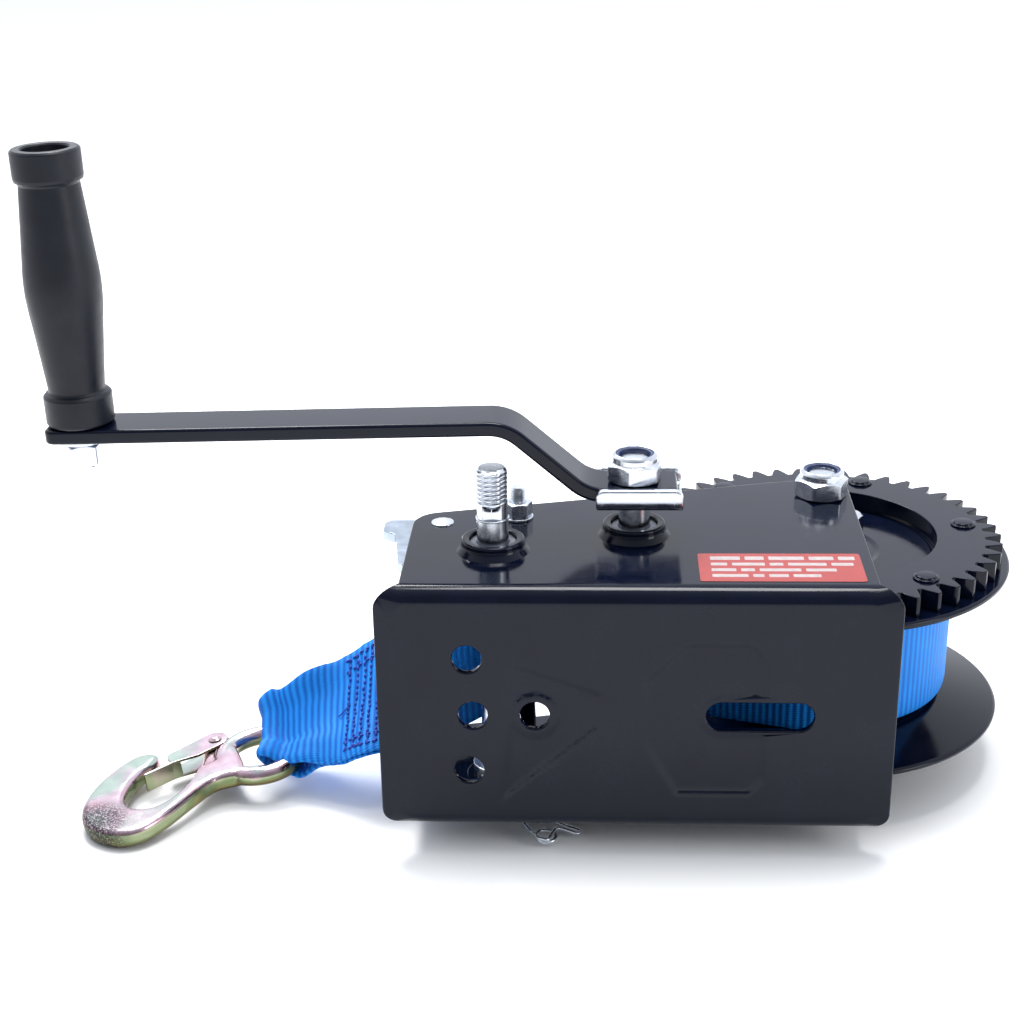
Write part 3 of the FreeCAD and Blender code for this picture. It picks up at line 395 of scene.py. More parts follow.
def rounded(points, radius, steps=3, closed=True):
    """Polyline with every corner replaced by a short arc."""
    out = []
    n = len(points)
    for i in range(n):
        p = np.array(points[i][:2], dtype=float)
        r = points[i][2] if len(points[i]) > 2 else radius
        if (not closed and i in (0, n - 1)) or r <= 0:
            out.append(tuple(p))
            continue
        a = np.array(points[i - 1][:2], dtype=float) - p
        b = np.array(points[(i + 1) % n][:2], dtype=float) - p
        la, lb = np.linalg.norm(a), np.linalg.norm(b)
        a, b = a / la, b / lb
        half = acos(max(-1.0, min(1.0, float(a @ b)))) / 2
        reach = min(r / max(tan(half), 1e-6), 0.47 * la, 0.47 * lb)
        if half > pi / 2 - 0.03:
            out += [tuple(p)] * (steps + 1)
            continue
        rr = reach * tan(half)
        centre = p + (a + b) / np.linalg.norm(a + b) * (rr / sin(half))
        s, e = p + a * reach - centre, p + b * reach - centre
        t0 = atan2(s[1], s[0])
        t1 = atan2(e[1], e[0])
        d = (t1 - t0 + pi) % (2 * pi) - pi
        for k in range(steps + 1):
            t = t0 + d * k / steps
            out.append((centre[0] + rr * cos(t), centre[1] + rr * sin(t)))
    return out


def lathe(profile, centre, segments=64, place=None):
    """Shell of revolution about the vertical through centre; profile is a list or a function of the angle."""
    verts = []
    for i in range(segments):
        t = 2 * pi * i / segments
        points = profile(t) if callable(profile) else profile
        verts += [(centre[0] + r * cos(t), centre[1] + r * sin(t), z) for r, z in points]
    faces = tube_faces(segments, len(points), loop=True, flip=True)
    if place:
        verts = [place(v) for v in verts]
    return clean(verts, faces)


def clean(verts, faces):
    """Welds points that fall together and drops the faces that vanish."""
    keys, order, new = {}, [], []
    for v in verts:
        key = (round(v[0], 4), round(v[1], 4), round(v[2], 4))
        if key not in keys:
            keys[key] = len(new)
            new.append(v)
        order.append(keys[key])
    out = []
    for f in faces:
        g = []
        for k in f:
            if not g or order[k] != g[-1]:
                g.append(order[k])
        if len(g) > 1 and g[0] == g[-1]:
            g.pop()
        if len(set(g)) == len(g) and len(g) > 2:
            out.append(g)
    return new, out


def resample(points, step):
    """Closed polyline with extra points so that no side is longer than step."""
    out = []
    n = len(points)
    for i in range(n):
        a, b = np.array(points[i], dtype=float), np.array(points[(i + 1) % n], dtype=float)
        parts = max(1, int(ceil(np.linalg.norm(b - a) / step)))
        for k in range(parts):
            out.append(tuple(a + (b - a) * k / parts))
    return out


def inset(points, distance):
    """Closed polyline moved to its left by distance (inward for a counter-clockwise outline)."""
    p = np.array(points, dtype=float)
    fwd = np.roll(p, -1, axis=0) - p
    fwd /= np.maximum(np.linalg.norm(fwd, axis=1)[:, None], 1e-9)
    back = np.roll(fwd, 1, axis=0)
    left_f = np.stack([-fwd[:, 1], fwd[:, 0]], axis=1)
    left_b = np.stack([-back[:, 1], back[:, 0]], axis=1)
    mid = left_f + left_b
    mid /= np.maximum(np.linalg.norm(mid, axis=1)[:, None], 1e-9)
    scale = np.clip(1.0 / np.maximum((mid * left_f).sum(axis=1), 0.35), 1.0, 1.8)
    return p + mid * (scale * distance)[:, None]


def signed_area(points):
    p = np.array(points)
    q = np.roll(p, -1, axis=0)
    return float((p[:, 0] * q[:, 1] - q[:, 0] * p[:, 1]).sum() / 2)


def plate(outline, holes, low, high, edge, place=None, grid=(), steps=3, levels=(), lift=None):
    """Sheet between two heights with rounded edges; place carries (u, v, w) to x, y, z."""
    place = place or (lambda u, v, w: (u, v, w))
    lift = lift or (lambda u, v, w: w)
    loops = [outline if signed_area(outline) > 0 else outline[::-1]]
    loops += [h if signed_area(h) < 0 else h[::-1] for h in holes]
    verts, faces = [], []
    caps = {1: ([], []), -1: ([], [])}
    for loop in loops:
        rings = []
        for k in range(steps, 0, -1):
            a = pi / 2 * k / steps
            rings.append((edge * (1 - cos(a)), low + edge * (1 - sin(a))))
        rings.append((0.0, low + edge))
        rings += [(0.0, w) for w in levels]
        rings.append((0.0, high - edge))
        for k in range(1, steps + 1):
            a = pi / 2 * k / steps
            rings.append((edge * (1 - cos(a)), high - edge * (1 - sin(a))))
        starts = []
        n = len(loop)
        for d, w in rings:
            starts.append(len(verts))
            moved = inset(loop, d) if d > 0 else np.array(loop)
            for u, v in moved:
                verts.append((u, v, w))
        for a, b in zip(starts[:-1], starts[1:]):
            for i in range(n):
                j = (i + 1) % n
                faces.append([a + i, a + j, b + j, b + i])
        for side, start in ((-1, starts[0]), (1, starts[-1])):
            caps[side][0].append(list(range(start, start + n)))
    for side in (1, -1):
        index = [k for loop in caps[side][0] for k in loop]
        points = [Vector(verts[k][:2]) for k in index]
        edges = []
        base = 0
        for loop in caps[side][0]:
            m = len(loop)
            edges += [(base + i, base + (i + 1) % m) for i in range(m)]
            base += m
        extra = [Vector(g) for g in grid]
        result = delaunay_2d_cdt(points + extra, edges, [], 2, 1e-5)
        flat_v, flat_f, origin = result[0], result[2], result[3]
        w = high if side == 1 else low
        lookup = []
        for k, v in enumerate(flat_v):
            source = [o for o in origin[k] if o < len(index)]
            if source:
                lookup.append(index[source[0]])
            else:
                lookup.append(len(verts))
                verts.append((v.x, v.y, w))
        bores = [np.array([verts[k][:2] for k in loop]) for loop in caps[side][0][1:]]
        for f in flat_f:
            g = [lookup[k] for k in f]
            mid = np.mean([verts[k][:2] for k in g], axis=0)
            if any(within(mid, bore) for bore in bores):
                continue
            a, b, c = (verts[k] for k in g[:3])
            turn = (b[0] - a[0]) * (c[1] - a[1]) - (b[1] - a[1]) * (c[0] - a[0])
            if (turn > 0) != (side == 1):
                g.reverse()
            faces.append(g)
    out = [place(u, v, lift(u, v, w)) for u, v, w in verts]
    return out, faces


def within(point, polygon):
    """True where the point lies inside the closed polygon."""
    low, high = polygon.min(axis=0), polygon.max(axis=0)
    if (point < low).any() or (point > high).any():
        return False
    q = np.roll(polygon, -1, axis=0)
    crosses = (polygon[:, 1] > point[1]) != (q[:, 1] > point[1])
    rise = np.where(q[:, 1] == polygon[:, 1], 1e-12, q[:, 1] - polygon[:, 1])
    at = polygon[:, 0] + (point[1] - polygon[:, 1]) * (q[:, 0] - polygon[:, 0]) / rise
    return bool(np.count_nonzero(crosses & (point[0] < at)) % 2)


def circle(x, y, r, n=40):
    return [(x + r * cos(2 * pi * k / n), y + r * sin(2 * pi * k / n)) for k in range(n)]


def wire(points, radius, sides, refine):
    """Round wire along a smooth curve through the points."""
    p = catmull(points, refine)
    verts = []
    t = np.gradient(p, axis=0)
    t /= np.linalg.norm(t, axis=1)[:, None]
    side = np.cross(t[0], (0.3, 0.2, 1.0))
    n = len(p)
    for i in range(n):
        side = side - t[i] * (side @ t[i])
        side /= np.linalg.norm(side)
        up = np.cross(t[i], side)
        for k in range(sides):
            a = 2 * pi * k / sides
            verts.append(p[i] + (side * cos(a) + up * sin(a)) * radius)
    faces = tube_faces(n, sides)
    for end, sign in ((0, -1), (n - 1, 1)):
        base, cap = end * sides, len(verts)
        for k in range(sides):
            inward = (np.array(verts[base + k]) - p[end]) * 0.7
            verts.append(p[end] + inward + t[end] * sign * radius * 0.3)
        for k in range(sides):
            m = (k + 1) % sides
            quad = [base + k, base + m, cap + m, cap + k]
            faces.append(quad if sign > 0 else quad[::-1])
        ring = list(range(cap, cap + sides))
        faces.append(ring if sign > 0 else ring[::-1])
    return verts, faces


def catmull(points, refine, closed=False):
    """Smooth curve through the rows of points, refine points per span."""
    p = np.array(points, dtype=float)
    q = np.vstack([p[-1], p, p[:2]]) if closed else np.vstack([2 * p[0] - p[1], p, 2 * p[-1] - p[-2]])
    out = []
    for i in range(1, len(q) - 2):
        a, b, c, d = q[i - 1], q[i], q[i + 1], q[i + 2]
        for k in range(refine):
            t = k / refine
            out.append(0.5 * (2 * b + (c - a) * t + (2 * a - 5 * b + 4 * c - d) * t * t
                              + (3 * b - a - 3 * c + d) * t ** 3))
    return np.array(out if closed else out + [q[-2]])


def smoothstep(x):
    x = min(1.0, max(0.0, x))
    return x * x * (3 - 2 * x)


def thread_wave(x):
    """Rounded trapezoid between 0 (root) and 1 (crest) over one pitch."""
    x = x % 1.0
    return smoothstep((0.5 - abs(x - 0.5)) * 3.2 - 0.28)


def hex_r(t, across, turn):
    """Radius of a hexagon with clipped corners at angle t."""
    a = (t - radians(turn) - pi / 6) % (pi / 3)
    flat = across / 2 / cos(pi / 6 - abs(a - pi / 6))
    return min(flat, across / 2 / cos(pi / 6) * 0.985)


def hex_edge(t, across, turn, face):
    """Radius of a nut's side at angle t and the depth of its 30 degree chamfer there."""
    r = hex_r(t, across, turn)
    return max(r, face + 0.01), max((r - face) * tan(radians(30)), 0)


def soften(obj, width=0.35):
    """Broken edges on a part shown with its own solid shape."""
    weld = obj.modifiers.new("join", "WELD")
    weld.merge_threshold = 0.000002
    bevel = obj.modifiers.new("broken_edges", "BEVEL")
    bevel.width = width * MM
    bevel.segments = 3
    bevel.limit_method = "ANGLE"
    bevel.angle_limit = radians(35)
    bevel.harden_normals = True


# ---------------------------------------------------------------- metal parts
SHEET, TOP, INNER = 3.0, 49.5, 46.5
SHAFT_A, SHAFT_B, DRUM = (0.0, 54.0), (-53.11, 37.89), (75.30, 94.50)
GUIDE, PAWL = (-45.0, 69.6), (-74.3, 64.4)
RIM, BEND_S, ARC = 6.5, 43.0, 6.5 * pi / 2
LEFT, RIGHT = -86.0, 87.0
SLOT_X, SLOT_Z, SLOT_HALF, SLOT_R = 45.6, -1.2, 13.95, 5.75
HOLES = [(-61.5, 21.8), (-61.5, -24.2), (-59.7, -1.2), (-36.8, -1.2)]
FIELDS = [
    [(-44, 20), (-11, 8), (-13, -6), (-50, -38)],
    [(3, 13), (18, 28.5), (42, 28.5), (48, 22), (48, -28), (43, -34), (15, -34), (3, -12)],
]


def edge_distance(x, z, outline):
    """Distance to the nearest side, positive inside."""
    best, inside = 1e9, False
    n = len(outline)
    for i in range(n):
        ax, az = outline[i]
        bx, bz = outline[(i + 1) % n]
        dx, dz = bx - ax, bz - az
        t = max(0.0, min(1.0, ((x - ax) * dx + (z - az) * dz) / (dx * dx + dz * dz)))
        best = min(best, hypot(x - ax - t * dx, z - az - t * dz))
        if (az > z) != (bz > z) and x < ax + (z - az) * dx / dz:
            inside = not inside
    return best if inside else -best


def slot_distance(x, z):
    """Distance to the middle line of the mounting slot."""
    return hypot(max(0.0, abs(x - SLOT_X) - SLOT_HALF), z - SLOT_Z)


def press(x, z):
    """Depth of the pressed fields at a point of the base plate."""
    depth = 0.0
    for outline in FIELDS:
        if abs(x) < 60 and abs(z) < 45:
            depth = max(depth, 0.8 * smoothstep((edge_distance(x, z, outline) + 0.3) / 2.4))
    for hx, hz in HOLES:
        depth *= smoothstep((hypot(x - hx, z - hz) - 7.6) / 2.2)
    return depth * (0.35 + 0.65 * smoothstep((slot_distance(x, z) - 6.6) / 2.0))


def frame_place(u, v, w):
    """Unrolled sheet to the bent channel; w runs from 0 on the outer face to the sheet thickness."""
    s = abs(v)
    sign = 1 if v >= 0 else -1
    if s <= BEND_S:
        return (u, w + press(u, v), v)
    if s <= BEND_S + ARC:
        a = (s - BEND_S) / RIM
        r = RIM - w
        return (u, RIM - r * cos(a), sign * (BEND_S + r * sin(a)))
    return (u, RIM + s - BEND_S - ARC, sign * (TOP - w))


def side_s(y):
    """Unrolled coordinate of a point of a side plate at depth y."""
    return y - RIM + BEND_S + ARC


def frame_sheet():
    """Pressed channel with its holes, the collars drawn out of it and the bushes in them."""
    def corner(cx, rx):
        out = []
        for k in range(13):
            a = pi / 2 * k / 12
            z = 41.5 + 8.0 * sin(a)
            s = z if z < BEND_S else BEND_S + RIM * asin(min(1.0, (z - BEND_S) / RIM))
            out.append((cx + rx * cos(a), s, 0))
        return out

    half = corner(RIGHT, 8.0) + [(RIGHT, side_s(116.2), 10.0), (LEFT, side_s(73.6), 12.0)]
    half += corner(LEFT, -9.0)[::-1]
    lower = [(p[0], -p[1], p[2]) for p in half[::-1]]
    outline = resample(rounded(half + lower, 0.5, 8), 2.0)
    holes = [circle(x, z, 5.5) for x, z in HOLES]
    slot = []
    for side in (1, -1):
        for k in range(33):
            a = pi * k / 32 - side * pi / 2
            slot.append((SLOT_X + side * SLOT_HALF + SLOT_R * cos(a), SLOT_Z + SLOT_R * sin(a)))
    holes.append(slot)
    for sign in (1, -1):
        for (x, y), r in ((SHAFT_A, 9.6), (SHAFT_B, 9.6), (DRUM, 6.15), (GUIDE, 3.15)):
            holes.append(circle(x, sign * side_s(y), r))
    holes.append(circle(PAWL[0], side_s(PAWL[1]), 3.0))

    def blocked(x, v):
        return slot_distance(x, v) < 7.4 or any(hypot(x - hx, v - hz) < 7.3 for hx, hz in HOLES)

    grid = []
    x = -92.6
    while x < 93:
        step = 1.25 if -52 < x < 50 else 3.0
        v = -41.5
        while v < 42:
            if not blocked(x, v):
                grid.append((x + 0.01 * sin(v * 7), v + 0.01 * cos(x * 5)))
            v += step
        x += step
    for sign in (1, -1):
        for k in range(15):
            s = BEND_S + ARC * k / 14
            for i in range(44):
                x = -84.5 + 170 * i / 43
                grid.append((x, sign * s))
    sheet = plate(outline, holes, 0.0, SHEET, 0.7, frame_place, grid)
    piece("frame_sheet", "frame", [sheet], "black_paint", sharp=50)

    collar = rounded([(8.9, INNER - 0.15, 0.5), (8.9, 54.3, 0.6), (11.9, 54.5, 0.9), (11.9, 51.9, 2.5),
                      (13.9, TOP + 0.02, 0.05), (13.3, INNER + 0.8, 0.3), (12.0, INNER - 0.15, 0.3)], 0.5, 5)
    bush = rounded([(6.05, INNER), (6.05, 53.0), (8.88, 53.0), (8.88, INNER)], 0.45, 3)
    for name, node, line, segments, material, sharp in (
            ("frame_collars", None, collar, 72, "black_paint", 50),
            ("bush_rings", "shaft_bushes", bush, 64, "bush_steel", 38)):
        shells = []
        for shaft in (SHAFT_A, SHAFT_B):
            for s in (1, -1):
                shells.append(lathe([(r, s * z) for r, z in line], shaft, segments))
        piece(name, node, shells, material, sharp=sharp)


def lock_nut(centre, z0, across, height, bore, turn):
    """Self-locking nut: chamfered hexagon, crimped collar and the seat of its nylon ring."""
    top = z0 + height * 0.68
    face, collar, lip = across * 0.475, across * 0.455, across * 0.378

    def profile(t):
        wide, drop = hex_edge(t, across, turn, face)
        return rounded([(bore, z0, 0.3), (face - 0.5, z0, 0.2), (wide, z0 + drop + 0.06, 0.25),
                        (wide, top - drop - 0.06, 0.25), (collar + 0.35, top, 0.15), (collar, top + 0.35, 0.3),
                        (collar, z0 + height * 0.9, 0.9), (lip + 0.45, z0 + height, 0.35),
                        (lip, z0 + height - 0.15, 0.12), (lip, z0 + height - 1.3, 0.1),
                        (bore, z0 + height - 1.3, 0.1)], 0.2, 3)

    return lathe(profile, centre, 144)


def nylon_ring(centre, z0, across, height, bore):
    lip, bore = across * 0.375, bore + 0.05
    line = rounded([(bore, z0 + height * 0.7), (bore, z0 + height - 0.5), (lip, z0 + height - 0.3),
                    (lip, z0 + height * 0.7)], 0.35, 3)
    return lathe(line, centre, 64)


def plain_nut(centre, z0, across, height, bore, turn, both=True):
    """Hexagon chamfered at the top, and at the bottom too where both is true."""
    face = across * 0.475

    def profile(t):
        wide, drop = hex_edge(t, across, turn, face)
        low = drop if both else 0.0
        return rounded([(bore + 0.5, z0, 0.1), (face - 0.3, z0, 0.2), (wide, z0 + low + 0.06, 0.2),
                        (wide, z0 + height - drop - 0.06, 0.2), (face - 0.3, z0 + height, 0.2),
                        (bore + 0.6, z0 + height, 0.15), (bore, z0 + height - 0.6, 0.1),
                        (bore, z0 + 0.5, 0.1)], 0.2, 3)

    return lathe(profile, centre, 144)


def threaded(centre, z_low, z_top, major, pitch, start=None, segments=64, flat=None):
    """Rod with a helical thread from start to its chamfered top."""
    start = z_low if start is None else start
    zs = [z_low]
    while zs[-1] < start - 0.01:
        zs.append(min(start, zs[-1] + 1.5))
    while zs[-1] < z_top - 0.01:
        zs.append(min(z_top, zs[-1] + pitch / 9))
    depth = pitch * 0.56
    rows = []
    for i in range(segments):
        t = 2 * pi * i / segments
        row = []
        for z in zs:
            r = major
            if z > start:
                wave = thread_wave((z - start) / pitch - i / segments)
                fade = smoothstep((z - start) / (pitch * 0.8))
                r = major - depth * (1 - wave) * fade
                r = min(r, major - depth * 1.1 + max(0.0, (z_top - z)) * 1.0)
            if flat and flat[0] < z < flat[1]:
                r = min(r, flat[2] / max(abs(sin(t)), 1e-6))
            row.append((centre[0] + r * cos(t), centre[1] + r * sin(t), z))
        rows.append(row)
    n = len(zs)
    verts = [v for row in rows for v in row]
    faces = []
    for i in range(segments):
        j = (i + 1) % segments
        for k in range(n - 1):
            faces.append([i * n + k, j * n + k, j * n + k + 1, i * n + k + 1])
    for z, k, flip in ((z_low, 0, True), (z_top, n - 1, False)):
        base = len(verts)
        for i in range(segments):
            x, y, _ = verts[i * n + k]
            verts.append((centre[0] + (x - centre[0]) * 0.86, centre[1] + (y - centre[1]) * 0.86, z))
        for i in range(segments):
            j = (i + 1) % segments
            quad = [i * n + k, j * n + k, base + j, base + i]
            faces.append(quad[::-1] if flip else quad)
        ring = [base + i for i in range(segments)]
        faces.append(ring[::-1] if flip else ring)
    return verts, faces


def shafts():
    turned = rounded([(0.0, FLOOR + 0.02, 0), (5.2, FLOOR + 0.02, 0.3), (6.0, FLOOR + 0.9, 0.3),
                      (6.0, 62.0, 0.0), (6.35, 62.4, 0.3), (6.35, 62.85, 0.3), (5.7, 63.0, 0.0),
                      (0.0, 63.0, 0)], 0.2, 3)
    flats = (62.0, 68.4, 4.68)
    for name, centre, top, body in (("shaft_a", SHAFT_A, 80.4, "crank"),
                                    ("shaft_b", SHAFT_B, 82.5, "low_speed_shaft")):
        end = threaded(centre, 62.9, top, 5.9, 1.75, 68.6, 96, flats)
        piece(name + "_turned", name, [lathe(turned, centre, 72), end], body=body)


def washer(centre, inner, outer, low, high, ease, segments, place=None):
    line = rounded([(inner, low), (inner, high), (outer, high), (outer, low)], ease)
    return lathe(line, centre, segments, place)


def fasteners():
    for name, centre, z0, height, bore, turn, body in (("crank", SHAFT_A, 71.5, 10.8, 5.9, 20, "crank"),
                                                       ("axle", DRUM, TOP, 11.2, 5.95, 8, "winch_frame")):
        piece(name + "_lock_nut", name + "_nut", [lock_nut(centre, z0, 19.0, height, 6.0, turn)], body=body)
        ring = nylon_ring(centre, z0, 19.0, height, bore)
        piece(name + "_nut_nylon", name + "_nut_insert", [ring], "nylon", body, 38)
    piece("axle_bolt_m12", "axle_bolt", [
        plain_nut(DRUM, FLOOR, 19.0, 8.0, 0.8, 0, both=False),
        lathe([(0, FLOOR + 0.1), (1.5, FLOOR + 0.1), (1.5, FLOOR + 7.0), (0, FLOOR + 7.0)], DRUM, 24),
        threaded(DRUM, FLOOR + 7.9, 59.0, 6.0, 1.75, 48.0, 80)])
    piece("guide_bolt_m6", "guide_bolt", [plain_nut(GUIDE, -TOP - 4.0, 10.0, 4.0, 0.7, 10, both=False),
                                          threaded(GUIDE, -TOP - 0.1, 62.6, 3.0, 1.0, 48.9, 48)])
    piece("guide_nut_m6", "guide_nut", [plain_nut(GUIDE, TOP + 1.2, 10.0, 6.0, 3.0, 10)])
    piece("guide_washer_m6", "guide_washer", [washer(GUIDE, 3.1, 6.0, TOP, TOP + 1.2, 0.3, 48)], sharp=38)
    piece("axle_washer_turned", "axle_washer", [washer(DRUM, 6.15, 12.0, FLOOR + 8, -TOP, 0.4, 64)], sharp=38)
    pin = rounded([(0, TOP + 1.5, 0), (1.6, TOP + 1.45, 1.0), (4.4, TOP + 0.5, 0.5), (4.5, TOP, 0.1),
                   (3.0, TOP, 0), (3.0, INNER, 0), (6.5, INNER, 0.3), (6.5, 42.9, 0.3), (3.95, 42.9, 0), (3.95, 38.3, 0),
                   (6.5, 38.3, 0.3), (6.5, 35.6, 0.3), (3.6, 35.6, 0), (3.6, 26.6, 0.2), (3.2, 26.0, 0.1),
                   (0, 26.0, 0)], 0.2)
    piece("pawl_pin_turned", "pawl_pin", [lathe(pin, PAWL, 56)], sharp=38)


def gear_outline(centre, teeth, tooth_angle):
    pressure, module = radians(25.0), 3.0
    pitch_r = module * teeth / 2
    base_r = pitch_r * cos(pressure)
    tip_r, root_r = pitch_r + 0.95 * module, pitch_r - 1.25 * module
    half = pi / (2 * teeth) - 0.175 / pitch_r
    start = max(base_r, root_r + 0.4)
    flank = [start + (tip_r - start) * k / 6 for k in range(7)]

    def half_angle(r):
        a = acos(min(1.0, base_r / max(r, base_r)))
        return half + (tan(pressure) - pressure) - (tan(a) - a)

    points = []
    for tooth in range(teeth):
        mid = radians(tooth_angle) + 2 * pi * tooth / teeth
        left = [(r, mid - half_angle(r)) for r in flank]
        right = [(r, mid + half_angle(r)) for r in reversed(flank)]
        foot = half_angle(start) + 0.3 / root_r
        points += [(root_r, mid - foot, 0.5)] + [(r, a, 0.35 if r == tip_r else 0.0) for r, a in left]
        points += [(tip_r + 0.03, mid, 0.0)]
        points += [(r, a, 0.35 if r == tip_r else 0.0) for r, a in right] + [(root_r, mid + foot, 0.5)]
    flat = [(centre[0] + r * cos(a), centre[1] + r * sin(a), q) for r, a, q in points]
    return rounded(flat, 0.3, 3)


def gears():
    a_line, b_line, first_tooth = 28.27, 196.87 - 180, 70.0
    half, pitch = 180.0 / 11, 360.0 / 11
    offset = (first_tooth - b_line + half) % pitch - half
    idler_angle = b_line + 180 - offset * 11 / 26
    for name, node, centre, teeth, angle, bore, z0, z1, body in (
            ("drum_ring_gear", "drum_gear", DRUM, 46, a_line + 180, 46.5, 26.0, 34.0, "drum"),
            ("crank_pinion", "pinion_a", SHAFT_A, 11, a_line + half, 6.0, 26.4, 34.8, "crank"),
            ("idler_wheel", "idler_gear", SHAFT_A, 26, idler_angle, 6.0, 36.4, 43.6, "crank"),
            ("low_speed_pinion", "pinion_b", SHAFT_B, 11, first_tooth + half, 6.0, 35.4, 44.6,
             "low_speed_shaft")):
        blank = plate(gear_outline(centre, teeth, angle), [circle(*centre, bore, 96)], z0, z1, 0.35)
        piece(name, node, [blank], "black_paint", body, 40)


def drum_parts():
    high, low = 26.0, 23.1
    upper = rounded([(12.5, low, 0), (74.4, low, 0.8), (75.2, low + 0.9, 0.8), (75.2, high - 0.8, 0.7),
                     (74.4, high, 0.7), (45.6, high, 1.0), (44.4, high + 0.6, 1.2), (24.6, high + 0.6, 1.2),
                     (22.4, high, 1.2), (12.5, high, 0)], 0.4, 5)
    z = -28.5
    lower = rounded([(12.5, z, 0), (46.5, z, 3.0), (50.0, z - 0.9, 3.0), (74.0, z - 7.5, 1.2),
                     (75.2, z - 8.4, 0.9), (74.9, z - 9.7, 0.7), (73.2, z - 10.2, 0.9), (49.0, z - 3.5, 3.0), (45.5, z - 2.8, 3.0),
                     (12.5, z - 2.8, 0)], 0.4, 6)
    for name, line in (("upper_flange", upper), ("lower_flange", lower)):
        piece(name + "_pressed", name, [lathe(line, DRUM, 192)], "black_paint", "drum", 50)
    rivet = rounded([(0, 22.6, 0), (2.9, 22.6, 0.2), (3.0, 23.1, 0), (3.0, 34.02, 0), (5.0, 34.02, 0.1),
                     (5.0, 34.7, 0.3), (4.1, 34.8, 0.15), (3.9, 35.5, 0.5), (0, 35.8, 0)], 0.2, 4)
    ring = [radians(6.5 + 60 * k) for k in range(6)]
    shells = [lathe(rivet, (DRUM[0] + 59 * cos(a), DRUM[1] + 59 * sin(a)), 48) for a in ring]
    piece("gear_rivet_heads", "gear_rivets", shells, "black_paint", "drum", 50)




# ---------------------------------------------------------------- crank
def arm_path():
    """Middle line of the bent arm as (x, z) points with their running length."""
    tail = (222.0 - 48.0 + 3.0) * tan(radians(1.05))
    corners = [(16.0, 68.75, 0), (-17.5, 68.75, 17.75), (-48.0, 95.05, 17.75), (-225.0, 95.05 - tail, 0)]
    p = np.array(rounded(corners, 0, 20, closed=False))
    length = np.concatenate([[0], np.cumsum(np.linalg.norm(np.diff(p, axis=0), axis=1))])
    return p, length


def arm():
    """Flat bar bent twice, square to the shaft at one end and tilted with the grip at the other."""
    p, length = arm_path()
    tangent = np.gradient(p, length, axis=0)
    tangent /= np.linalg.norm(tangent, axis=1)[:, None]

    def at(s):
        x, z = np.interp(s, length, p[:, 0]), np.interp(s, length, p[:, 1])
        tx, tz = np.interp(s, length, tangent[:, 0]), np.interp(s, length, tangent[:, 1])
        n = hypot(tx, tz)
        return x, z, tx / n, tz / n

    def place(u, v, w):
        x, z, tx, tz = at(u)
        return (x + tz * (w - 2.75), 54.0 + v, z - tx * (w - 2.75))

    end = float(np.interp(222.0, -p[:, 0], length))
    outline = resample(rounded([(0, -11, 2.0), (end, -11, 4.0), (end, 11, 4.0), (0, 11, 2.0)], 2, 6), 1.2)
    holes = [circle(16.0, 0, 6.1, 40), circle(float(np.interp(209.7, -p[:, 0], length)), 0, 5.1, 40)]
    grid = []
    bend = [k for k in range(len(p)) if -75 < p[k, 0] < -2]
    s = length[bend[0]]
    while s < length[bend[-1]]:
        grid += [(s, -9.1 + 2.6 * k) for k in range(8)]
        s += 1.2
    bar = plate(outline, holes, 0, 5.5, 1.2, place, grid, steps=4)
    piece("crank_arm_bent", "crank_arm", [bar], "black_paint", "crank", 55)


def saddle():
    """Channel that clasps the arm over the shaft's flats, with rounded ear corners."""
    half, t, z0, top = 11.1, 3.0, 63.0, 72.1
    outline = rounded([(-half - t, z0, 4.2), (half + t, z0, 4.2), (half + t, top, 1.1), (half, top, 1.1),
                       (half, 66.0, 1.1), (-half, 66.0, 1.1), (-half, top, 1.1), (-half - t, top, 1.1)], 1, 6)
    outline = resample(outline, 1.0)
    x0, x1, r = -14.6, 18.0, 3.4

    def place(u, v, w):
        d = max(0.0, r - (w - x0), r - (x1 - w))
        cap = top - (r - sqrt(max(0.0, r * r - min(d, r) ** 2)))
        if v > 67.5:
            v = 67.5 + (v - 67.5) * (cap - 67.5) / (top - 67.5)
        return (w, 54.0 + u, v)

    levels = [x0 + 0.7 + (k + 1) * 0.4 for k in range(8)] + [x1 - 0.7 - (8 - k) * 0.4 for k in range(8)]
    channel = plate(outline, [], x0, x1, 0.7, place, levels=levels, steps=4)
    piece("crank_saddle_pressed", "crank_saddle", [channel], body="crank", sharp=55)


def tilt(v):
    """Turn about the arm's bend that tips the grip and its bolt with the arm."""
    a = radians(-1.05)
    x, z = v[0] + 47.0, v[2] - 95.05
    return (x * cos(a) + z * sin(a) - 47.0, v[1], -x * sin(a) + z * cos(a) + 95.05)


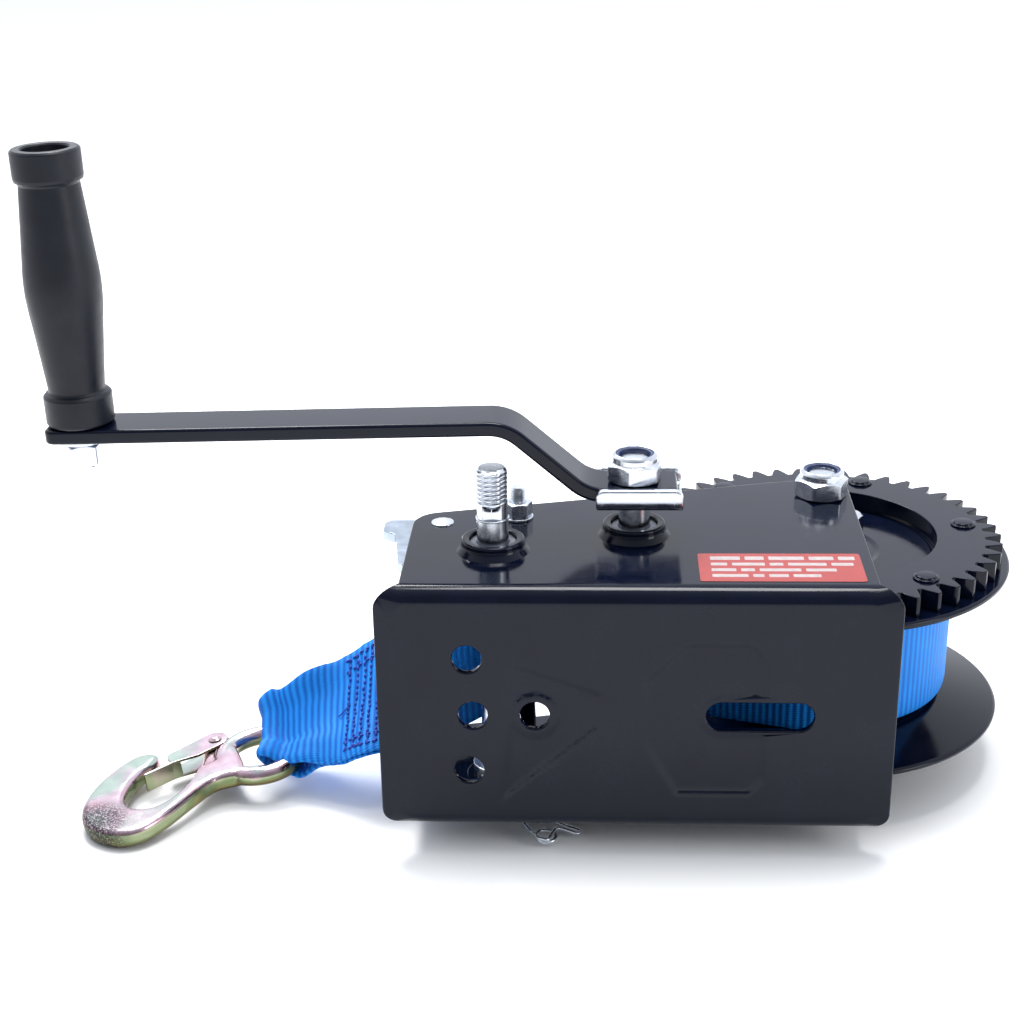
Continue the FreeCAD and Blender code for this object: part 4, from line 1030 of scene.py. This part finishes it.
def grip():
    centre = (-209.7, 54.0)
    z, h = 98.3, 103.0
    line = [(5.07, 0.0), (12.2, 0.0, 0.5), (12.85, 0.8, 0.6), (12.85, 11.0, 0.8), (11.9, 12.0, 0.5),
            (10.72, 12.5, 0.7), (10.62, 13.4, 0.5), (11.0, 17.5, 6), (11.72, 25.0, 10), (12.72, 35.0, 10), (13.5, 42.0, 10),
            (13.98, 47.0, 10), (14.18, 51.0, 10), (14.15, 54.5, 10), (13.95, 58.5, 10), (13.2, 66.5, 10),
            (12.3, 77.0, 10), (11.45, 86.5, 8), (11.1, 90.2, 0.5), (11.5, 91.0, 0.4), (12.5, 91.6, 0.6),
            (12.75, 92.8, 0.6), (12.75, h - 0.9, 0.8), (11.9, h, 0.7), (9.2, h, 0.5), (8.6, h - 0.7, 0.3),
            (8.6, h - 8.5, 0.2), (5.07, h - 8.5, 0)]
    moulded = [(r, z + y) for r, y in rounded(line, 0.4, 5)]
    piece("grip_moulded", "grip", [lathe(moulded, centre, 96, tilt)], "black_plastic", "grip", 55)
    verts, faces = plain_nut(centre, 92.3 - 10.1, 16.0, 8.5, 5.0, 12)
    piece("grip_nut_hex", "grip_nut", [([tilt(v) for v in verts], faces)], body="crank")
    ring = washer(centre, 5.0, 9.0, 90.7, 92.3, 0.4, 48, tilt)
    piece("grip_washer_turned", "grip_washer", [ring], body="crank", sharp=38)
    head = rounded([(0, 190.0, 0), (7.55, 190.0, 0.2), (7.55, 193.2, 0.4), (6.4, 195.0, 1.0), (4.2, 195.6, 0.4),
                    (3.6, 195.0, 0.2), (3.4, 192.6, 0.1), (0, 192.6, 0)], 0.3, 4)
    verts, faces = threaded(centre, -97.0, -80.4, 5.0, 1.5, -90.0, 56)
    stub = [tilt((x, 2 * centre[1] - y, -w)) for x, y, w in verts], faces
    shank = lathe([(0, 96.0), (4.95, 96.0), (4.95, 190.1), (0, 190.1)], centre, 48, tilt)
    piece("grip_bolt_m10", "grip_bolt", [lathe(head, centre, 64, tilt), stub, shank], body="crank")


def label():
    """Plain sticker with blank bars where the real one has words."""
    outline = rounded([(23, 8.2), (82.5, 8.2), (82.5, 33.7), (23, 33.7)], 1.2, 5)
    sheet = plate(outline, [], TOP + 0.005, TOP + 0.2, 0.08, steps=2)
    piece("rating_sticker", "rating_label", [sheet], "red_sticker", sharp=60)
    bars = []
    for y, h, widths in ((27.6, 3.2, (11, 7, 13, 9, 6)), (22.4, 2.6, (6, 12, 5, 14, 8)),
                         (17.2, 2.6, (9, 5, 15, 11)), (12.0, 2.6, (13, 4, 7, 10))):
        x = 27.5
        for w in widths:
            bar = rounded([(x, y), (x + w, y), (x + w, y + h), (x, y + h)], 0.35, 3)
            bars.append(plate(bar, [], TOP + 0.15, TOP + 0.24, 0.03, steps=1))
            x += w + 1.7
    piece("sticker_bars", None, bars, "pale_print", sharp=60)


def small_wires():
    """Coil spring round the pawl's pin, and the bent clip on the lower end of shaft B."""
    cx, cy = PAWL
    spring = [(cx - 1.3, cy - 15, 34.8), (cx + 2.5, cy - 10.5, 34.5)]
    for k in range(97):
        a = 2 * pi * k / 24
        spring.append((cx + 4.7 * cos(a), cy + 4.7 * sin(a), 34.2 - 6.0 * k / 96))
    spring += [(cx + 5.6, cy + 4.5, 28.2), (cx + 9.4, cy + 7.0, 28.2), (cx + 13.7, cy + 8.0, 28.2)]
    piece("pawl_torsion_spring", "pawl_spring", [wire(spring, 0.6, 10, 2)], sharp=0)
    along = np.array([0.46, -0.888]) / hypot(0.46, 0.888)
    across = np.array([-along[1], along[0]])
    bend = [radians(-75 + 28 * k) for k in range(1, 16)]
    clip = [(-9, 0), (0, 0), (12, 0), (24, 0), (30, 0), (33, 0.4), (36.5, 0.2)]
    clip += [(36.0 + 3.9 * cos(t), 3.6 + 3.7 * sin(t), 0.11 * k - 0.6) for k, t in enumerate(bend, 1)]
    clip += [(34.0, 9.0, 0.9), (36, 12.5, 0.3), (38.5, 15.5, -0.6), (36.6, 17.6, -1.0), (31.5, 14.0, -0.6),
             (24, 9.4), (16, 7.9), (10, 7.7), (5, 8.5), (0, 8.7), (-5, 7.8), (-8, 7.9), (-10.5, 9.4)]
    points = []
    for a, c, *rise in clip:
        x, y = np.array(SHAFT_B) + along * a + across * c
        points.append((x, y, -57.3 + (rise[0] if rise else 0.0)))
    piece("clip_wire", "spring_clip", [wire(points, 0.7, 12, 5)], body="low_speed_shaft", sharp=0)


# ---------------------------------------------------------------- webbing strap
STRAP_COUNT = 22


def band_section(half, thick, count=14):
    """Cross-section of the strap as (across, height, side) with thinner woven edges."""
    out = []
    ts = [sin(pi / 2 * (2 * k / (count - 1) - 1)) for k in range(count)]
    for side, row in ((1, ts), (-1, ts[::-1])):
        for t in row:
            edge = smoothstep((abs(t) * half - half + 1.6) / 1.6)
            out.append((t, thick / 2 * (1 - 0.6 * edge), side))
    return out


def band(centres, acrosses, halves, along, thick, fold=None, count=14, square=1.0):
    """Closed ribbon mesh with crosswise ribs, and its (along, across) coordinates in mm.

    Where square is 1 the ribbon's width is turned square to its run, and where it is 0 it is left as given.
    """
    c = np.array(centres, dtype=float)
    run = np.gradient(c, axis=0)
    run /= np.linalg.norm(run, axis=1)[:, None]
    verts, uv = [], []
    section = band_section(25.0, thick, count)
    n = len(section)
    for i in range(len(c)):
        a = np.array(acrosses[i], dtype=float)
        a = a - run[i] * (a @ run[i]) * square
        a /= np.linalg.norm(a)
        normal = np.cross(run[i], a)
        normal /= np.linalg.norm(normal)
        wave = 0.2 * (abs(sin(pi * along[i] / RIB)) ** 0.7 - 0.6)
        for t, h, side in section:
            lift = side * (h + wave * (1 - smoothstep((abs(t) - 0.97) / 0.03)))
            q = c[i] + a * (t * halves[i]) + normal * lift
            if fold is not None:
                q = q + fold(i, t)
            verts.append(tuple(q))
            uv.append((along[i], t * 25.0))
    faces = tube_faces(len(c), n, flip=True)
    for base, flip in ((0, False), ((len(c) - 1) * n, True)):
        for k in range(n // 2 - 1):
            quad = [base + k, base + k + 1, base + n - 2 - k, base + n - 1 - k]
            faces.append(quad[::-1] if flip else quad)
    return verts, faces, uv


def strap_coil():
    """Wound webbing: one long spiral from the coil's outside to the core."""
    pitch, thick = 2.02, 1.7
    start = radians(284)
    angles = []
    t = 0.0
    turns = (54.3 - 0.9 - 21.3) / pitch
    while t < turns * 2 * pi:
        angles.append(t)
        t += 0.0075 if t < 2 * pi * 1.05 else radians(5)
    centres, along = [], []
    length = 0.0
    last = None
    for t in angles:
        r = 54.3 - 0.95 - pitch * t / (2 * pi)
        turn = int(t / (2 * pi))
        wander = 0.25 * sin(3.1 * turn + 0.4) + 0.12 * sin(t * 0.9)
        p = np.array((DRUM[0] + r * cos(start + t), DRUM[1] + r * sin(start + t), -2.7 + wander))
        if last is not None:
            length += float(np.linalg.norm(p - last))
        last = p
        centres.append(p)
        along.append(length)
    verts, faces, uv = band(centres, [(0, 0, -1)] * len(centres), [24.6] * len(centres), along, thick)
    obj = piece("strap_wound", "strap_coil", [(verts, faces)], "blue_webbing", "drum", 0, uv)


EYE = np.array((-151.0, 53.0, -48.4))
HU = np.array((-0.802, -0.589, -0.104)) / np.linalg.norm((-0.802, -0.589, -0.104))
HV = np.array((0.592, -0.806, 0.0)) / np.linalg.norm((0.592, -0.806, 0.0))
HW = np.cross(HU, HV) / np.linalg.norm(np.cross(HU, HV))
LOOP = EYE + (HU * -0.827 + HV * 0.562) * 15.5
FLAT = np.array((-100.0, 56.5, -23.0))
LA = (FLAT - LOOP) / np.linalg.norm(FLAT - LOOP)
LB = np.cross((0, 0, 1), LA) / np.linalg.norm(np.cross((0, 0, 1), LA))
LC = np.cross(LA, LB)
OUT = np.array((-0.94, 0.0, 0.34))


def tail_line():
    """Stations of the free strap from the coil to the fold: centre, across and half width."""
    rows = []
    for deg in (284, 275, 266, 257, 248.4):
        a = radians(deg)
        rows.append((DRUM[0] + 55.7 * cos(a), DRUM[1] + 55.7 * sin(a), -2.7, 0, 0, 1))
    rows += [(36, 50.0, -3.4, 0, 0, 1), (16, 58.6, -4.6, 0, 0, 1), (-2, 65.0, -5.8, 0, 0, 1),
             (-22, 71.6, -7.2, 0, 0, 1), (-38, 76.6, -8.8, 0, 0, 1), (-45.5, 78.0, -10.0, 0, 0, 1),
             (-53, 76.3, -11.4, 0, 0.05, 1), (-66, 70.4, -14.2, 0, 0.25, 0.97),
             (-80, 64.8, -17.6, 0, 0.55, 0.84), (-91, 60.2, -20.4, 0, 0.76, 0.65), (*FLAT, 0, 0.9, 0.44)]
    return [np.array((*row, 24.6), dtype=float) for row in rows]


def tail():
    """Free strap: out to the hook's eye, round it, and back as the sewn second ply."""
    upper = tail_line()

    def ply(side):
        """One ply beside the eye, above the strap's middle line for side 1 and below it for -1."""
        out = []
        low = 0.8 if side < 0 else 1.0
        for dist, half, rise in ((33, 23.2, 1.1), (24, 20.0, 1.5), (16, 16.5, 3.7), (8, 13.6, 6.0),
                                 (0, 11.8, 7.4)):
            p = LOOP + LA * dist + LC * rise * side * low
            blend = smoothstep((33 - dist) / 20)
            a = LB * blend + np.array((0, 0.985, 0.17)) * (1 - blend)
            out.append(np.array((*p, *a, half)))
        return out

    arc = []
    for k in range(1, 8):
        t = pi * k / 8
        reach = 7.4 if t < pi / 2 else 5.95
        p = LOOP + OUT * 14.0 * sin(t) + LC * reach * cos(t)
        arc.append(np.array((*p, *LB, 11.2)))
    double_from = len(upper) - 4
    path = upper + ply(1) + arc + ply(-1)[::-1]
    back = []
    run = [r[:3] for r in upper]
    a = upper[-1][3:6]
    sign = 1.0 if np.cross(run[-1] - run[-2], a) @ LC > 0 else -1.0
    for k in range(double_from, len(upper)):
        d = run[min(k + 1, len(run) - 1)] - run[k - 1]
        d /= np.linalg.norm(d)
        a = upper[k][3:6] - d * (upper[k][3:6] @ d)
        n = np.cross(d, a / np.linalg.norm(a))
        path[k] = upper[k].copy()
        path[k][:3] += n * sign * smoothstep((k - double_from + 1) / 2)
        under = upper[k].copy()
        under[:3] -= n * sign * 0.95
        back.insert(0, under)
    path += back
    p = catmull(path, 16)
    xyz = p[:, :3]
    length = np.concatenate([[0], np.cumsum(np.linalg.norm(np.diff(xyz, axis=0), axis=1))])
    count = int(length[-1] / (RIB / 6))
    s = np.linspace(0, length[-1], count)
    full = np.stack([np.interp(s, length, p[:, k]) for k in range(7)], axis=1)
    loop_dist = np.array([float((q[:3] - LOOP) @ LA) for q in full])
    tall = np.array([float((q[:3] - LOOP) @ LC) for q in full])

    far = [(-9, 10.5, 0.0), (-3, 17.0, 0.0), (0, 18.3, 0.0), (8, 19.8, 0.0), (16, 20.3, 5.0), (24, 18.5, 11.0),
           (33, 14.5, 13.0), (43, 7.0, 7.0), (54, 1.5, 1.5), (64, 0.0, 0.0)]
    near = [(-9, 0.0, -1.0), (0, 3.0, -1.5), (8, 5.5, -0.5), (16, 9.5, 2.5), (24, 8.0, 4.5), (33, 5.5, 4.8),
            (43, 2.0, 2.0), (54, 0.0, 0.0), (64, 0.0, 0.0)]
    far, near = np.array(far), np.array(near)

    def fold(i, t):
        """Near the eye the far half of the strap stands up and the near edge curls down over the fold."""
        d = loop_dist[i]
        if d > 64:
            return np.zeros(3)
        upper_side = smoothstep(0.5 + 0.5 * tall[i] / 6.0)
        b = t * full[i][6]
        bow = (15.5 - sqrt(15.5 ** 2 - min(abs(b), 11.0) ** 2)) * smoothstep((14 - d) / 14) * 0.5
        crease = smoothstep((36 - d) / 30) * (0.4 * sin(t * 8.0 + 0.6) + 0.25 * sin(t * 15.0 + 2.0 + 0.04 * d))
        high, low = np.interp(d, far[:, 0], far[:, 1]), np.interp(d, far[:, 0], far[:, 2])
        lift = (low + (high - low) * upper_side) * max(0.0, (t + 0.12) / 1.12) ** 1.35
        high, low = np.interp(d, near[:, 0], near[:, 1]), np.interp(d, near[:, 0], near[:, 2])
        droop = (low + (high - low) * upper_side) * max(0.0, (-t - 0.12) / 0.88) ** 1.5
        return -LA * bow + LC * crease + np.array((0.0, 0.0, lift - droop))

    verts, faces, uv = band(full[:, :3], full[:, 3:6], full[:, 6], s, 1.7, fold, STRAP_COUNT, square=0.25)
    obj = piece("strap_free_end", "strap_tail", [(verts, faces)], "blue_webbing", sharp=0, uv=uv)
    return full, verts


def stitch_capsule(centre, along, normal, length, radius):
    """One raised stitch of thread, sunk at both ends."""
    along = along / np.linalg.norm(along)
    normal = normal / np.linalg.norm(normal)
    side = np.cross(along, normal)
    verts = []
    rings, sides = 5, 8
    for i in range(rings):
        t = -1 + 2 * i / (rings - 1)
        r = radius * sqrt(max(0.08, 1 - abs(t) ** 2.5))
        c = centre + along * (length / 2 * t) + normal * (radius * (0.55 - 0.9 * t * t))
        for k in range(sides):
            a = 2 * pi * k / sides
            verts.append(c + (side * cos(a) + normal * sin(a) * 0.8) * r)
    faces = tube_faces(rings, sides)
    faces.append(list(range(sides))[::-1])
    faces.append(list(range((rings - 1) * sides, rings * sides)))
    return verts, faces


def stitching(full, verts, count=STRAP_COUNT):
    """Box of stitches through both plies, laid on the outer face of each ply."""
    xs = full[:, 0]
    grid = np.array(verts).reshape(len(full), 2 * count, 3)[:, count:][:, ::-1]
    ts = [sin(pi / 2 * (2 * k / (count - 1) - 1)) for k in range(count)]
    turn = int(np.argmin(xs))
    seed = 1

    def place(x, t, back):
        i = turn + int(np.argmax(xs[turn:] > x)) if back else int(np.argmax(xs < x))
        k = float(np.interp(t, ts, range(count)))
        k0 = min(int(k), count - 2)
        p = grid[i, k0] * (1 - k + k0) + grid[i, k0 + 1] * (k - k0)
        run = grid[i + 4, k0] - grid[i - 4, k0]
        across = grid[i, k0 + 1] - grid[i, k0]
        run, across = run / np.linalg.norm(run), across / np.linalg.norm(across)
        return p, run, across, np.cross(across, run)

    marks = []
    for k in range(11):
        marks += [(-113.6 + 3.0 * k, -0.84 + 1.70 * j / 17, 0) for j in range(18)]
    for t in (-0.86, -0.70, 0.70, 0.88):
        marks += [(-114.2 + 2.45 * k, t, 1) for k in range(14)]
    shells = []
    for back in (False, True):
        for x, t, lengthwise in marks:
            seed = (seed * 1103515245 + 12345) % 2147483648
            wob = seed / 2147483648 - 0.5
            p, run, across, n = place(x + 0.5 * wob, t, back)
            along = run + across * 0.3 * wob if lengthwise else across + run * 0.3 * wob
            shells.append(stitch_capsule(p + n * 0.05, along, n, 2.4, 0.58))
    p, run, across, n = place(-113.0, 0.12, False)
    loose = [p + n * 0.3, p + run * 2.2 - across * 2.0 + n * 0.9, p + run * 4.8 - across * 3.6 + n * 1.3]
    shells.append(wire(loose, 0.3, 6, 5))
    piece("strap_stitching", None, shells, "stitch_thread", sharp=0)




# ---------------------------------------------------------------- hook and latch
HOOK_LINE = [(12, 9.5), (24, 8.0), (36, 12.0), (50, 18.0), (62, 20.6), (71, 17.0), (76.5, 8.0), (77.3, -1.0),
             (73.5, -11.0), (66, -19.5), (57, -25.5), (48, -29.3), (41, -30.6), (35.5, -28.0), (34.5, -23.8),
             (39, -19.8), (45, -17.5), (52, -12.5), (57.5, -5.5), (59, 1.0), (56, 6.5), (50, 9.0), (42, 7.2),
             (34, 2.5), (27, -3.5), (22, -9.5), (18.5, -16), (15.5, -21.5), (10.5, -23.5), (6.5, -20.0), (6, -12)]


RIVET = (11.5, -18.3)


def rivet_distance(u, v):
    return hypot(u - RIVET[0], v - RIVET[1])


def hook_place(u, v, w):
    """Hook's own axes (along the shank, across the flat, through it) to the frame."""
    return tuple(EYE + HU * u + HV * v + HW * w)


def seat_depth(u, v):
    """1 where the latch sits on the neck, 0 elsewhere."""
    d = rivet_distance(u, v) - 7.2
    sweep = [(9, -12.5), (14.5, -7), (19, -5), (26, -5), (26, -22), (12, -24.5)]
    d = min(d, -edge_distance(u, v, sweep))
    return 1 - smoothstep((d + 0.1) / 1.6)


def hook():
    """Flat hook and its eye, blended into one forging by a remesh."""
    grid = []
    u = 0.0
    while u < 80:
        v = -32.0
        while v < 22:
            if edge_distance(u, v, HOOK_LINE) > 3.6 and rivet_distance(u, v) > 2.6:
                grid.append((u + 0.01 * sin(5 * v), v))
            v += 1.1
        u += 1.1

    def lift(u, v, w):
        return w * (1 - (1 - 2.35 / 4.0) * seat_depth(u, v))

    line = catmull(HOOK_LINE, 6, closed=True)
    flat, flat_faces = plate(line, [circle(*RIVET, 2.05, 24)], -4.0, 4.0, 2.6, None, grid, steps=6, lift=lift)
    rings, sides, eye = 72, 24, []
    for i in range(rings):
        t = 2 * pi * i / rings
        for k in range(sides):
            a = 2 * pi * k / sides
            r = 15.5 + 4.0 * cos(a)
            eye.append((r * cos(t), r * sin(t), 4.0 * sin(a)))
    shells = [([hook_place(*v) for v in flat], flat_faces),
              ([hook_place(*v) for v in eye], tube_faces(rings, sides, loop=True, flip=True))]
    obj = piece("hook_forged", "hook", shells, "yellow_zinc", "hook", 0)
    remesh = obj.modifiers.new("blend", "REMESH")
    remesh.mode = "VOXEL"
    remesh.voxel_size = 0.00055
    remesh.use_smooth_shade = True
    smooth = obj.modifiers.new("settle", "SMOOTH")
    smooth.factor = 0.5
    smooth.iterations = 4


def latch():
    """Folded latch: two cheeks joined by a web, on a rivet through the hook's neck."""
    gap, t = 2.9, 1.2
    cheek = rounded([(8.6, -13.6, 2.0), (5.9, -17, 3.0), (6.4, -21.2, 3.0), (9.8, -23.9, 3.0), (14, -23.6, 4.0),
                     (33.0, -21.0, 3.0), (33.0, -14.4, 0.6), (22, -12.2, 3.0)], 1.0, 6)
    shells = []
    for s in (1, -1):
        low, high = sorted((s * gap, s * (gap + t)))
        shells.append(plate(cheek, [circle(*RIVET, 1.62, 24)], low, high, 0.35, hook_place))
    web = rounded([(29.2, -13.9, 0.4), (29.2, -15.1, 0.4), (33.0, -15.6, 1.0), (45.5, -14.6, 0.5),
                   (45.5, -13.4, 0.5), (33, -14.2, 1.0)], 0.3, 4)
    shells.append(plate(web, [], -gap - t, gap + t, 0.5, hook_place, steps=4))
    piece("latch_sheet", "latch", shells, "yellow_zinc", "latch")
    z = gap + t
    turned = []
    for s in (1, -1):
        dome = rounded([(0, s * (z + 1.35), 0), (1.3, s * (z + 1.3), 1.0), (2.7, s * (z + 0.45), 0.4),
                        (2.7, s * (z + 0.1), 0.1), (0, s * (z + 0.1), 0)], 0.2, 4)
        turned.append(lathe(dome, (0.0, 0.0), 32))
    turned.append(lathe([(0, -z - 0.2), (1.55, -z - 0.2), (1.55, z + 0.2), (0, z + 0.2)], (0.0, 0.0), 24))
    set_in = [([hook_place(RIVET[0] + x, RIVET[1] + y, w) for x, y, w in verts], faces)
              for verts, faces in turned]
    piece("latch_rivet_set", "latch_rivet", set_in, "yellow_zinc", "hook")




studio()
MATERIALS = {
    "black_paint": black_paint(), "bright_zinc": bright_zinc(), "bush_steel": bush_steel(),
    "yellow_zinc": yellow_zinc(), "black_plastic": black_plastic(), "nylon": nylon(),
    "blue_webbing": webbing(), "stitch_thread": stitch_thread(),
    "red_sticker": label_ink("red_sticker", 300, (0.28, 0.026, 0.022), (0.33, 0.034, 0.028), 0.28),
    "pale_print": label_ink("pale_print", 500, (0.34, 0.29, 0.29), (0.43, 0.37, 0.36), 0.3),
}
for part in frame["record"]["subparts"]:
    node = frame["nodes"][part["node"]]
    node.data.materials.clear()
    node.data.materials.append(MATERIALS[part["material_slot"]])

# The pawl gets a darker copy of the bright zinc: painted shade that holds down its bright highlight.
frame["nodes"]["pawl"].data.materials[0] = bright_zinc("lever_zinc_painted_shade", (0.34, 0.39, 0.46), (0.44, 0.50, 0.58))
for name in ("guide_sleeve", "guide_spacer", "axle_sleeve", "drum_core", "drum_hubs", "strap_anchor", "spacer_a",
             "spacer_b", "pawl"):
    soften(frame["nodes"][name])

frame_sheet()
shafts()
fasteners()
gears()
drum_parts()
arm()
saddle()
grip()
label()
small_wires()
strap_coil()
stitching(*tail())
hook()
latch()

camera()
bpy.context.view_layer.update()
